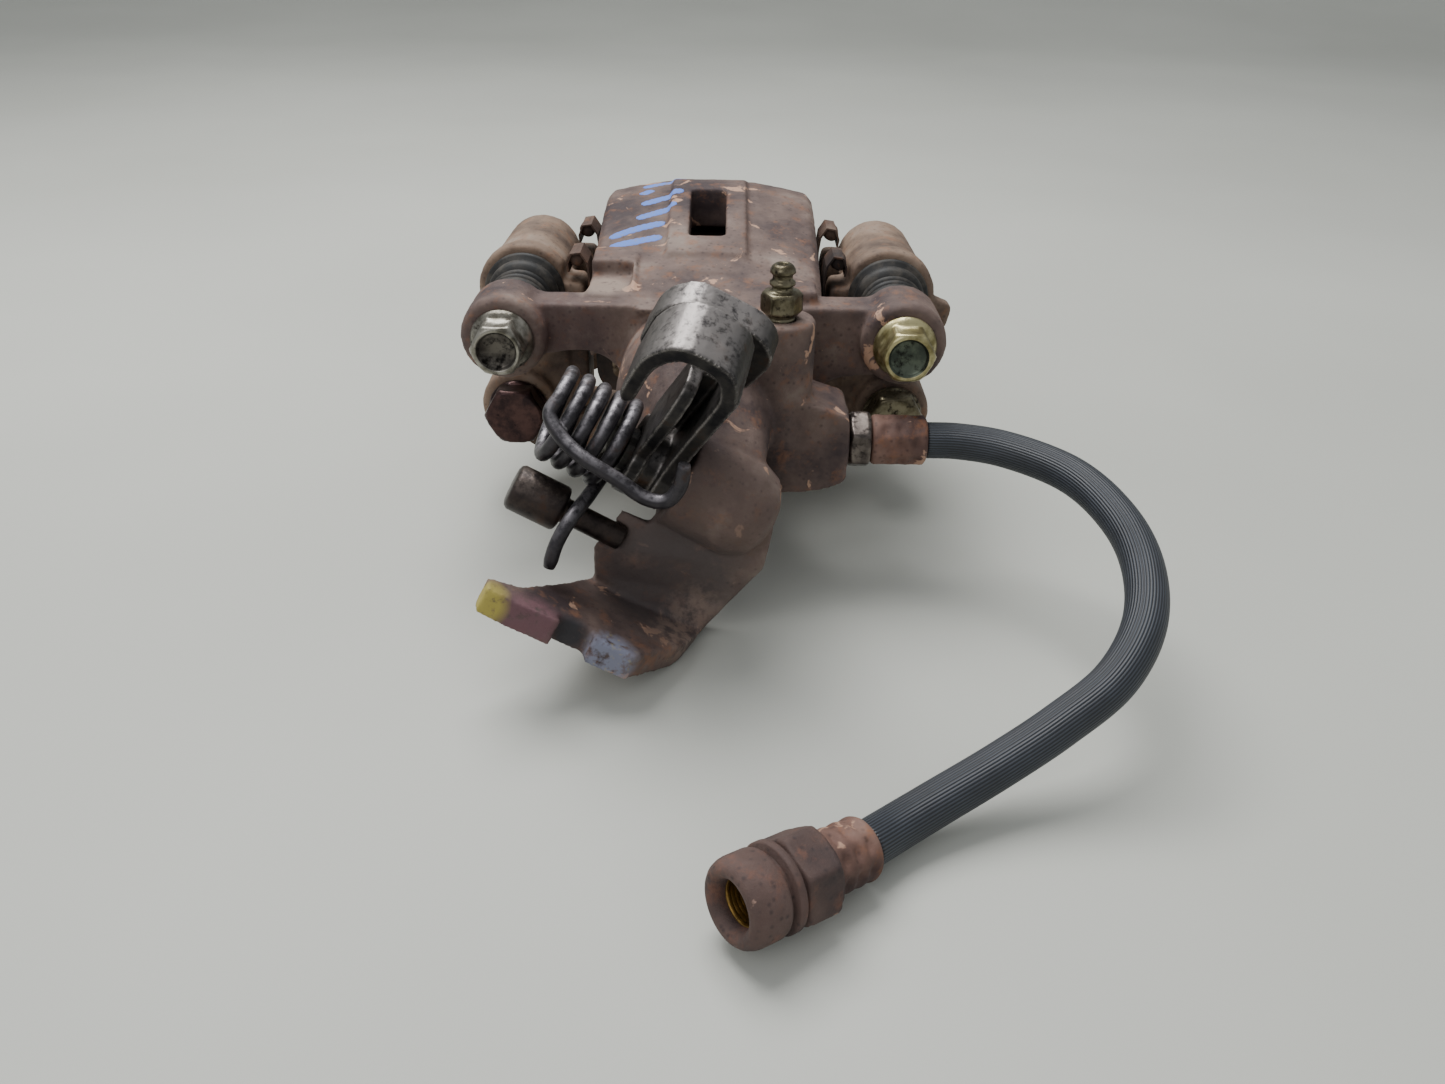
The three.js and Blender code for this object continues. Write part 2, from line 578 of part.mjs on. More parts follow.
function padShape(s, inset) {
  const i = inset;
  const ear = [[43.7 - i, 52.4 + i, 1], [43.7 - i, 63.6 - i, 1], [37.5 - i, 63.6 - i, 1]];
  const side = [[33 - i, 35 + i, 3], [36.4 - i, 40, 3], [36.6 - i, 52.4 + i, 0.5], ...ear, [36 - i, 70, 3], [30, 74.6 - i, 3]];
  const top = [[12, 78.6 - i, 8], [-12, 78.6 - i, 8]];
  return [...side, ...top, ...mirrorX(side, -1).reverse()];
}

function pad(prefix, towards, face) {
  // `face` is the rubbing face; `towards` is +1 when it looks along +Y.
  const span = (near, far) => [face - towards * near, face - towards * far].sort((a, b) => a - b);
  const block = [
    [-33, 38, 2], [-5, 36.5, 2], [5, 36.5, 2], [33, 38, 2], [33.5, 64, 3], [27, 70.5, 3], [12, 73.8, 6], [-12, 73.8, 6], [-27, 70.5, 3], [-33.5, 64, 3],
  ];
  let lining = prism(block, ...span(0, LINING), "y");
  lining = lining.subtract(box([-1.2, 1.2], [30, 80], span(-1, 7.5), frame(v(0, 0, 0), v(1, 0, 0), v(0, 0, 1), v(0, 1, 0))));
  add(`${prefix}_lining`, lining, FINISH.lining);
  const back = LINING + GAP;
  add(`${prefix}_backing`, prism(padShape(1, 0), ...span(back, back + BACKING), "y"), FINISH.backing);
  const shim = back + BACKING + GAP;
  const sheet = [[-31, 40, 3], [31, 40, 3], [32, 66, 4], [24, 72.5, 4], [-24, 72.5, 4], [-32, 66, 4]];
  add(`${prefix}_shim`, prism(sheet, ...span(shim, shim + 0.7), "y"), FINISH.stainless);
}

// ------------------------------------------------------------------ parking brake
const LEVER = frame(PIVOT, SHAFT, ARM, SWING); // lever outlines are drawn in (along shaft, along arm)
const LEVER_SIDE = frame(PIVOT, SWING, ARM, SHAFT); // plate outlines, pushed along the shaft

function lever() {
  const half = STRAP / 2;
  const hook = [
    [3.8, 12], [7.8, 12], [7.8, HOOK - 9, 9], [3, HOOK, 7], [-12, HOOK + 0.5, 7], [-17.4, HOOK - 10, 5], [-16.6, 27, 1.6],
    [-14.4, 24.5, 1.4], [-12.6, 27, 1], [-13.4, HOOK - 12, 4], [-9.5, HOOK - 4, 5], [0.5, HOOK - 4.2, 5], [3.8, HOOK - 11, 5],
  ];
  const strap = prism(hook, 2.2 - half, 2.2 + half, LEVER);
  const eye = { at: PIVOT, axis: SHAFT, sides: 24 };
  const side = [
    [2.2 - half, 45], [-6.4, 18, 6], [-9.5, 3, 4], [-4, -10], [4, -10], [9.5, 3, 4], [11, 18, 5], [23.5, 25, 4], [24, 41, 4],
    [16, 43, 2], [15.2, 33, 1.6], [11.2, 32, 1.6], [2.2 + half, 43],
  ];
  const prong = [
    [7.8, 22], [13.4, 24, 3], [14.5, 39, 4], [8, 44.8, 6], [-12, 44, 6], [-17, 35, 4], [-16.4, 22, 1.5], [-14, 20, 1.2],
    [-12.6, 23, 1], [-13, 33, 3], [-9, 40, 4], [3, 40.6, 4], [3.8, 27],
  ];
  const plates = [
    prism(side, 3.8, 7.8, LEVER_SIDE),
    rod(11, 3.8, 8.6, eye),
    rod(11, -4.4, -0.8, eye),
    prism([[-6.8, 2], [6.8, 2], [9, 26, 2], [8, 36, 4], [-3, 38, 5], [-6, 28, 3]], -4.4, -0.8, LEVER_SIDE),
    prism([[5.6, 10], [10, 10], [10, 36], [5.6, 36]], -4.4, 7.8, LEVER_SIDE),
    strap,
    prism(prong, 16, 24, LEVER),
    rod(8.5, -4.4, 8.2, eye),
  ];
  const body = union(plates).subtract(rod(6 + GAP, -12, 40, { ...eye, sides: 18 }));
  add("parking_lever", body, FINISH.oilySteel);

  const place = { at: PIVOT, axis: SHAFT, sides: 18 };
  const shaft = union([rod(6, -7, 30.8, place, 0.8), rod(4.4, -12.6, 0, { ...place, sides: 16 }, 0.6)]);
  const seat = rod(3.7, 4.6, 10, { at: v(0, -42, 48), axis: v(0, 1, 0.19), sides: 16 });
  add("lever_shaft", shaft.subtract(seat), FINISH.oilySteel);
  const nutPlace = { at: along(PIVOT, SHAFT, -7.4), axis: SHAFT.clone().negate() };
  const nut = hexagon(12.5, 0, 4.6, nutPlace).subtract(rod(4.7, -20, 20, place));
  add("lever_nut", nut, FINISH.zincDark);
}

function stopPin() {
  const place = { at: STOP, axis: SHAFT, sides: 24 };
  add(
    "lever_stop_pin",
    turned(
      [[0, -7.5], [5.2, -7.5], [6.2, -6.5], [6.2, 6.2], [5.4, 7], [3.3, 7.4], [3.3, 24], [2.6, 24.7], [0, 24.7]],
      place,
    ),
    FINISH.oilySteel,
  );
}

function returnSpring() {
  const front = v(0, -1, 0);
  const up = new THREE.Vector3().crossVectors(front, SHAFT).normalize();
  const last = THREE.MathUtils.degToRad(20);
  const count = 62;
  const helix = [];
  for (let i = 0; i <= count; i++) {
    const s = i / count;
    const angle = last + 2 * Math.PI * COIL_TURNS * (1 - s);
    const centre = along(COIL, SHAFT, COIL_HALF * (1 - 2 * s));
    helix.push(along(along(centre, front, COIL_R * Math.cos(angle)), up, COIL_R * Math.sin(angle)));
  }
  const lower = [v(-38.2, -63, 32), v(-36, -62, 38.5), v(-32.6, -59.8, 44.2), v(-28.4, -51.5, 47.2)];
  const upper = [v(-33.6, -57.8, 66.4), v(-28, -61, 62.4), v(-20, -62.4, 57.6), v(-12.5, -63.6, 52.8), v(-7.4, -64.8, 53), v(-4.2, -65.2, 57.2), v(-3, -65.4, 63.4)];
  add("return_spring", sweep([...lower, ...helix, ...upper], WIRE_R, 132, 7), FINISH.oilySteel);
}

// ------------------------------------------------------------------ brake hose
const ROUTE = [
  v(65, -12, 46), v(74, -12.4, 46), v(87, -16.4, 45.6), v(103, -30, 44.4), v(111, -52, 42), v(111, -74, 39), v(106.6, -90, 34),
  v(98.3, -100.6, 27), v(84.8, -108.2, 19.5), v(70.3, -115, 13), v(54.4, -123.6, 8.6), v(44.8, -130, 7.3), v(38.1, -136.1, 8.2),
];

function hoseGroup() {
  const near = { at: v(0, PORT_Y, PORT_Z), axis: v(1, 0, 0), sides: 18 };
  const thread = rod(4.8, PORT_X - 14, PORT_X + 1, { ...near, sides: 20 }, 0.6);
  const hex = hexagon(15, PORT_X + GAP, PORT_X + 6.4, near);
  add("hose_inlet_union", union([thread, hex]), FINISH.zincDark);
  const crimp = (from, length, place) => {
    const profile = [[0, from], [6, from], [7.2, from + 1]];
    for (let i = 0; i < 3; i++) {
      const y = from + 3.4 + (i * (length - 5)) / 3;
      profile.push([7.2, y], [6.5, y + 0.9], [7.2, y + 1.8]);
    }
    profile.push([7.2, from + length - 0.8], [6.2, from + length], [0, from + length]);
    return turned(profile, place);
  };
  add("hose_ferrule_near", crimp(PORT_X + 6.7, 15.9, near), FINISH.redBrown);

  add("brake_hose", sweep(ROUTE, HOSE_R, 54, 10), FINISH.hose);

  const end = ROUTE[ROUTE.length - 1];
  const run = v(-0.794, -0.596, 0.125).normalize();
  const far = { at: end, axis: run, sides: 20 };
  add("hose_ferrule_far", crimp(2 * GAP, 13, far), FINISH.redBrown);
  const body = union([
    hexagon(18, 14, 23.4, far),
    rod(7.6, 23, 28, far),
    rod(9.8, 24.2, 26.2, far, 0.3),
    turned([[0, 27.4], [8.6, 27.4], [9.6, 28.6], [9.6, 34], [8.8, 35.9], [8.2, 36.9], [0, 36.9]], far),
  ]);
  const bore = turned([[0, 22], [4.6, 23], [5, 34.6], [6.6, 37.1], [6.6, 40], [0, 40]], far);
  add("hose_end_fitting", body.subtract(bore), FINISH.redBrown);
}

// ------------------------------------------------------------------ build
carrier();
for (const [side, s] of Object.entries(SIDES)) {
  padClip(`pad_clip_inner_${side}`, s, 46.5, 58);
  padClip(`pad_clip_outer_${side}`, s, 80, 91.5);
  mountingBolt(`mounting_bolt_${side}`, s, side === "left" ? FINISH.redBrown : FINISH.oliveSteel);
}
housing();
for (const [side, s] of Object.entries(SIDES)) guide(side, s, side === "left" ? FINISH.zincDark : FINISH.zincYellow);
bleedScrew();
pistonGroup();
pad("inner_pad", 1, SLOT[0]);
pad("outer_pad", -1, SLOT[1]);
lever();
stopPin();
returnSpring();
hoseGroup();

// The origin goes under the middle of everything but the free hose.
const LOOSE = ["brake_hose", "hose_ferrule_far", "hose_end_fitting", "hose_ferrule_near"];
const extent = new THREE.Box3();
for (const piece of assembly.children) if (!LOOSE.includes(piece.name)) extent.expandByObject(piece);
assembly.position.set(-(extent.min.x + extent.max.x) / 2, -(extent.min.y + extent.max.y) / 2, -extent.min.z);

export default assembly;
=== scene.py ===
"""Rear floating brake caliper with its carrier, pads, parking-brake lever and flexible hose.

Sizes inside the classes are in millimetres, measured from the point midway between the guide pins
on the ears' front face; `place` turns them into metres in the frame. +Z is up, +Y along the pins.
"""

import logging
import math
from collections.abc import Callable, Sequence
from dataclasses import dataclass, field
from enum import Enum

import bmesh
import bpy
from mathutils import Matrix, Vector
from mathutils.bvhtree import BVHTree


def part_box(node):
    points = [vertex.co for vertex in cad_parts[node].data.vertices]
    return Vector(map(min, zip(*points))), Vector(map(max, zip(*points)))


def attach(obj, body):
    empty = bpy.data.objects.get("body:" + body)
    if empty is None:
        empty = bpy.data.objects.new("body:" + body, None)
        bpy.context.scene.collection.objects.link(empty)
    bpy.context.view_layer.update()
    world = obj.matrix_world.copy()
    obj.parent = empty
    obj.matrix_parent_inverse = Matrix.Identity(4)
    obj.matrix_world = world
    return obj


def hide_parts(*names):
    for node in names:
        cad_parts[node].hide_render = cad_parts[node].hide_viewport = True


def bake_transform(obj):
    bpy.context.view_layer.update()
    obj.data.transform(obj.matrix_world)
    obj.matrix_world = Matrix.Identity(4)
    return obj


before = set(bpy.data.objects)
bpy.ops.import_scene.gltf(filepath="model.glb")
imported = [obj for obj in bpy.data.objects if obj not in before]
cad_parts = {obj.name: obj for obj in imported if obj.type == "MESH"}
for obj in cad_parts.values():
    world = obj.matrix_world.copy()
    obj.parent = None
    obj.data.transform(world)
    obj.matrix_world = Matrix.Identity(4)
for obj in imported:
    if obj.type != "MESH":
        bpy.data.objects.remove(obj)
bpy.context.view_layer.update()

LOG = logging.getLogger("brake_caliper")
Point = tuple[float, float, float]

BOLT_HEAD_MM = 10.2
STROKE_HALF_WIDTH_MM = 2.5
LEFT_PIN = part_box("guide_pin_left")
RIGHT_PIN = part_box("guide_pin_right")
MIDDLE_X = 0.25 * (LEFT_PIN[0][0] + LEFT_PIN[1][0] + RIGHT_PIN[0][0] + RIGHT_PIN[1][0])
EAR_FACE_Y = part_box("guide_bolt_left")[0][1] + BOLT_HEAD_MM / 1000.0
PIN_X = 500.0 * (RIGHT_PIN[0][0] + RIGHT_PIN[1][0]) - 1000.0 * MIDDLE_X
PIN_Z = 500.0 * (RIGHT_PIN[0][2] + RIGHT_PIN[1][2])


class Body(str, Enum):
    """The rigid bodies that pieces ride on."""

    CARRIER = "carrier"
    CALIPER = "caliper"
    PISTON = "piston"
    INNER_PAD = "inner_pad"
    OUTER_PAD = "outer_pad"
    LEVER = "lever"


class Side(Enum):
    """Left and right of the caliper, as the sign of X."""

    LEFT = -1
    RIGHT = 1

    @property
    def word(self) -> str:
        """The side's name as the CAD nodes spell it."""
        return self.name.lower()


# ---------------------------------------------------------------- small tools


def place(x: float, y: float, z: float) -> Vector:
    """Turn a point in the part's millimetres into the frame's metres.

    Args:
        x, y, z: the point, in millimetres.

    Returns:
        The same point in metres, in the frame.
    """
    return Vector((x / 1000.0 + MIDDLE_X, y / 1000.0 + EAR_FACE_Y, z / 1000.0))


def linear(colour: str) -> tuple[float, float, float, float]:
    """Turn an sRGB hex colour into linear RGBA.

    Args:
        colour: six hex digits, with or without a leading #.

    Returns:
        Linear red, green, blue and an alpha of 1.
    """
    digits = colour.lstrip("#")
    parts = [int(digits[i : i + 2], 16) / 255.0 for i in (0, 2, 4)]
    r, g, b = (c / 12.92 if c <= 0.04045 else ((c + 0.055) / 1.055) ** 2.4 for c in parts)
    return (r, g, b, 1.0)


def per_mm(size: float) -> float:
    """A texture scale whose features are about `size` millimetres across."""
    return 1000.0 / size


def add_node(tree: bpy.types.NodeTree, kind: str, settings: dict | None = None, links: dict | None = None):
    """Add one shader node with its settings and links.

    Args:
        tree: the material's node tree.
        kind: the node's type, such as ShaderNodeTexNoise.
        settings: values by attribute or socket; `stops` is a list of (position, hex or grey) for a ramp.
        links: output sockets, or nodes whose first output is meant, by input socket.

    Returns:
        The new node.
    """
    node = tree.nodes.new(kind)
    for key, value in (settings or {}).items():
        if key == "stops":
            band = node.color_ramp.elements
            while len(band) < len(value):
                band.new(0.5)
            for element, (position, shade) in zip(band, value):
                element.position = position
                element.color = linear(shade) if isinstance(shade, str) else (shade, shade, shade, 1.0)
        elif isinstance(key, str) and hasattr(node, key):
            setattr(node, key, value)
        else:
            node.inputs[key].default_value = value
    for key, source in (links or {}).items():
        tree.links.new(
            source.outputs[0] if isinstance(source, bpy.types.Node) else source, node.inputs[key],
        )
    return node


def noise(
    tree: bpy.types.NodeTree, where, size_mm: float, detail: float, roughness: float,
) -> bpy.types.Node:
    """Cloudy noise with features of a given size.

    Args:
        tree: the material's node tree.
        where: the coordinates it's laid out in.
        size_mm: the size of its features in millimetres.
        detail: how many finer octaves it has.
        roughness: how strong those are.

    Returns:
        The noise node.
    """
    settings = {"Scale": per_mm(size_mm), "Detail": detail, "Roughness": roughness}
    return add_node(tree, "ShaderNodeTexNoise", settings, {"Vector": where})


def ramp(tree: bpy.types.NodeTree, stops: Sequence[tuple], value) -> bpy.types.Node:
    """A colour ramp, or a grey one where the stops hold numbers.

    Args:
        tree: the material's node tree.
        stops: (position, colour or grey level) from low to high.
        value: the node or socket that it reads.

    Returns:
        The ramp node.
    """
    return add_node(tree, "ShaderNodeValToRGB", {"stops": stops}, {"Fac": value})


def overlay(tree: bpy.types.NodeTree, under, colour: str, mask) -> bpy.types.Node:
    """One colour laid over another where a mask is high; output 2 is the result.

    Args:
        tree: the material's node tree.
        under: the colour below.
        colour: the hex colour on top.
        mask: how much of it shows.

    Returns:
        The mix node.
    """
    settings = {"data_type": "RGBA", 7: linear(colour)}
    return add_node(tree, "ShaderNodeMix", settings, {0: mask, 6: under})


def new_material(name: str) -> tuple[bpy.types.Material, bpy.types.NodeTree, bpy.types.Node]:
    """Start a node material.

    Args:
        name: what the finish is called.

    Returns:
        The material, its tree and its Principled shader.
    """
    material = bpy.data.materials.new(name)
    material.use_nodes = True
    tree = material.node_tree
    return material, tree, tree.nodes["Principled BSDF"]


def new_object(name: str, verts: Sequence, faces: Sequence, smooth: bool = True) -> bpy.types.Object:
    """Link a mesh object made from vertices and faces.

    Args:
        name: the piece's name.
        verts: positions in the frame's metres.
        faces: vertex indices of each face.
        smooth: whether its faces are shaded smooth.

    Returns:
        The new object.
    """
    mesh = bpy.data.meshes.new(name)
    mesh.from_pydata([tuple(p) for p in verts], [], faces)
    mesh.validate()
    work = bmesh.new()
    work.from_mesh(mesh)
    bmesh.ops.recalc_face_normals(work, faces=work.faces)
    work.to_mesh(mesh)
    work.free()
    for polygon in mesh.polygons:
        polygon.use_smooth = smooth
    piece = bpy.data.objects.new(name, mesh)
    bpy.context.scene.collection.objects.link(piece)
    return piece


def finish_piece(
    piece: bpy.types.Object,
    finish: "Finish",
    body: Body,
    replaced: Sequence[str] = (),
    bend: tuple[Body, Vector, Vector] | None = None,
) -> bpy.types.Object:
    """Give a piece its material, its body and the CAD nodes it stands for.

    Args:
        piece: the object to dress.
        finish: the finish whose material it takes.
        body: the body it rides on.
        replaced: CAD nodes it replaces.
        bend: for a piece that crosses a joint, the body at its far end, and where the bend starts and ends;
            only whether it is given is read, and such a piece is baked in place instead of joining a body.

    Returns:
        The same object.
    """
    piece.data.materials.clear()
    piece.data.materials.append(finish.material())
    if bend:
        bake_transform(piece)
    else:
        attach(piece, body.value)
    if replaced:
        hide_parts(*replaced)
    LOG.info("built %s", piece.name)
    return piece


def dress_node(name: str, finish: "Finish", bevel_mm: float = 0.25) -> None:
    """Give a carried-over CAD node its material and softened edges.

    Args:
        name: the CAD node.
        finish: the finish whose material it takes.
        bevel_mm: the width of its edge rounding.
    """
    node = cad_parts[name]
    slots = node.material_slots
    if len(slots) == 0:
        node.data.materials.append(finish.material())
    for slot in slots:
        slot.material = finish.material()
    bevel = node.modifiers.new("worn_edges", "BEVEL")
    bevel.width, bevel.segments = bevel_mm / 1000.0, 2
    bevel.limit_method, bevel.angle_limit = "ANGLE", math.radians(32)
    bevel.harden_normals = False
    LOG.info("dressed %s", name)


def revolve(
    name: str,
    profile: Sequence[tuple],
    at: Vector,
    axis: Vector,
    flats_mm: float = 0.0,
    segments: int = 72,
    wobble: Callable[[float, float], float] | None = None,
    phase: float = 0.0,
) -> bpy.types.Object:
    """Turn a profile about an axis, as a lathe does.

    Args:
        name: the piece's name.
        profile: (radius, distance along the axis) or (radius, distance, True) in millimetres; the
            third value cuts that ring back to the hexagon.
        at: the axis's origin in metres.
        axis: its direction.
        flats_mm: the hexagon's size across flats.
        segments: how many steps go round.
        wobble: extra radius in millimetres for an angle and a distance.
        phase: how far the hexagon is turned, in radians.

    Returns:
        A closed mesh object, open only where the profile doesn't meet the axis.
    """
    turn = Vector((0, 0, 1)).rotation_difference(axis.normalized())
    verts: list[Vector] = []
    rows: list[list[int]] = []
    for entry in profile:
        radius, height = entry[0], entry[1]
        if radius <= 1e-6:
            rows.append([len(verts)] * segments)
            verts.append(at + turn @ Vector((0, 0, height / 1000.0)))
            continue
        row = []
        for k in range(segments):
            angle = 2 * math.pi * k / segments
            r = radius
            if flats_mm and len(entry) > 2:
                inside = ((angle + phase) % (math.pi / 3)) - math.pi / 6
                r = min(r, 0.5 * flats_mm / math.cos(inside))
            if wobble:
                r += wobble(angle, height)
            row.append(len(verts))
            verts.append(at + turn @ Vector((r * math.cos(angle), r * math.sin(angle), height)) * 0.001)
        rows.append(row)
    faces = []
    for low, high in zip(rows, rows[1:]):
        for k in range(segments):
            n = (k + 1) % segments
            quad = [low[k], low[n], high[n], high[k]]
            face = [v for i, v in enumerate(quad) if v not in quad[:i]]
            if len(face) >= 3:
                faces.append(face)
    return new_object(name, verts, faces)


def second_finish(
    piece: bpy.types.Object, finish: "Finish", at: Vector, axis: Vector, radius_mm: float,
    beyond_mm: float,
) -> None:
    """Give the faces near an axis, past a distance along it, another finish.

    Args:
        piece: the object to change.
        finish: the finish of those faces.
        at: the axis's origin in metres.
        axis: its unit direction.
        radius_mm: how far from the axis it reaches.
        beyond_mm: the distance along the axis where it starts.
    """
    piece.data.materials.append(finish.material())
    for polygon in piece.data.polygons:
        offset = polygon.center - at
        along = offset.dot(axis)
        if along * 1000.0 > beyond_mm and (offset - axis * along).length * 1000.0 < radius_mm:
            polygon.material_index = 1


def smooth_route(points: Sequence[Vector], count: int) -> list[Vector]:
    """A centripetal Catmull-Rom curve through the points.

    Args:
        points: the points to pass through.
        count: how many steps to return.

    Returns:
        count + 1 points along the curve.
    """
    ends = [points[0] * 2 - points[1], *points, points[-1] * 2 - points[-2]]
    out = []
    for i in range(count + 1):
        s = i / count * (len(points) - 1)
        k = min(int(s), len(points) - 2)
        p = ends[k : k + 4]
        t = [0.0]
        for a, b in zip(p, p[1:]):
            t.append(t[-1] + max((b - a).length, 1e-9) ** 0.5)
        u = t[1] + (s - k) * (t[2] - t[1])
        a = [
            p[j] * ((t[j + 1] - u) / (t[j + 1] - t[j])) + p[j + 1] * (
                (u - t[j]) / (t[j + 1] - t[j])
            ) for j in range(3)
        ]
        b = [
            a[j] * ((t[j + 2] - u) / (t[j + 2] - t[j])) + a[j + 1] * (
                (u - t[j]) / (t[j + 2] - t[j])
            ) for j in range(2)
        ]
        out.append(b[0] * ((t[2] - u) / (t[2] - t[1])) + b[1] * ((u - t[1]) / (t[2] - t[1])))
    return out


def sweep(
    name: str, route: Sequence[Vector], radius: Callable[[float], float], sides: int = 24,
) -> bpy.types.Object:
    """A round bar or hose along a route, with a UV map: U goes round it, V runs along it in metres.

    Args:
        name: the piece's name.
        route: the centre line, in metres.
        radius: the radius in metres at a fraction of the length.
        sides: how many sides the section has.

    Returns:
        A closed mesh object.
    """
    verts: list[Vector] = []
    normal = None
    run = [0.0]
    for a, b in zip(route, route[1:]):
        run.append(run[-1] + (b - a).length)
    for i, p in enumerate(route):
        ahead = (route[min(i + 1, len(route) - 1)] - route[max(i - 1, 0)]).normalized()
        if normal is None:
            normal = ahead.orthogonal().normalized()
        normal = (normal - ahead * normal.dot(ahead)).normalized()
        other = ahead.cross(normal)
        r = radius(run[i] / run[-1])
        for k in range(sides):
            angle = 2 * math.pi * k / sides
            verts.append(p + normal * (r * math.cos(angle)) + other * (r * math.sin(angle)))
    faces = []
    for i in range(len(route) - 1):
        for k in range(sides):
            n = (k + 1) % sides
            faces.append([i * sides + k, i * sides + n, (i + 1) * sides + n, (i + 1) * sides + k])
    last = (len(route) - 1) * sides
    faces += [list(range(sides))[::-1], [last + k for k in range(sides)]]
    piece = new_object(name, verts, faces)
    layer = piece.data.uv_layers.new(name="round_and_along")
    for polygon in piece.data.polygons:
        around = [piece.data.loops[j].vertex_index % sides for j in polygon.loop_indices]
        wraps = max(around) - min(around) > sides / 2
        for j, k in zip(polygon.loop_indices, around):
            ring = piece.data.loops[j].vertex_index // sides
            layer.data[j].uv = ((k + sides if wraps and k < sides / 2 else k) / sides, run[ring])
    return piece


def cast_copy(
    node: str, name: str, voxel_mm: float, rounds: int, grain_mm: float, grain_size_mm: float,
) -> bpy.types.Object:
    """A cast or forged piece from a CAD node: rounded edges and a grainy skin.

    Args:
        node: the CAD node that gives the shape.
        name: the new piece's name.
        voxel_mm: the size of its mesh cells.
        rounds: how often the edges are relaxed.
        grain_mm: how deep the skin's unevenness goes.
        grain_size_mm: how wide one lump of it is.

    Returns:
        The new object, with its modifiers on it.
    """
    piece = bpy.data.objects.new(name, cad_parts[node].data.copy())
    bpy.context.scene.collection.objects.link(piece)
    cells = piece.modifiers.new("cells", "REMESH")
    cells.mode, cells.voxel_size, cells.use_smooth_shade = "VOXEL", voxel_mm / 1000.0, True
    relax = piece.modifiers.new("fillets", "SMOOTH")
    relax.factor, relax.iterations = 0.5, rounds
    lumps = bpy.data.textures.new(name + "_skin", "CLOUDS")
    lumps.noise_scale, lumps.noise_depth = grain_size_mm / 1000.0, 3
    skin = piece.modifiers.new("cast_skin", "DISPLACE")
    skin.texture, skin.strength, skin.mid_level = lumps, grain_mm / 1000.0, 0.5
    skin.texture_coords = "LOCAL"
    return piece


# ---------------------------------------------------------------- finishes


class Finish:
    """A finish makes its material once and hands the same one out again."""

    _made: dict = {}

    def material(self) -> bpy.types.Material:
        """The finish's material."""
        if self not in Finish._made:
            Finish._made[self] = self.build()
        return Finish._made[self]

    def build(self) -> bpy.types.Material:
        """Make the material's nodes."""
        raise NotImplementedError


@dataclass(frozen=True)
class Tint:
    """A coloured area round a point of a casting, broken up at its edge."""

    centre: Point
    radius: float
    colour: str
    amount: float = 0.8
    grain_mm: float = 4.0
    solid: float = 0.35


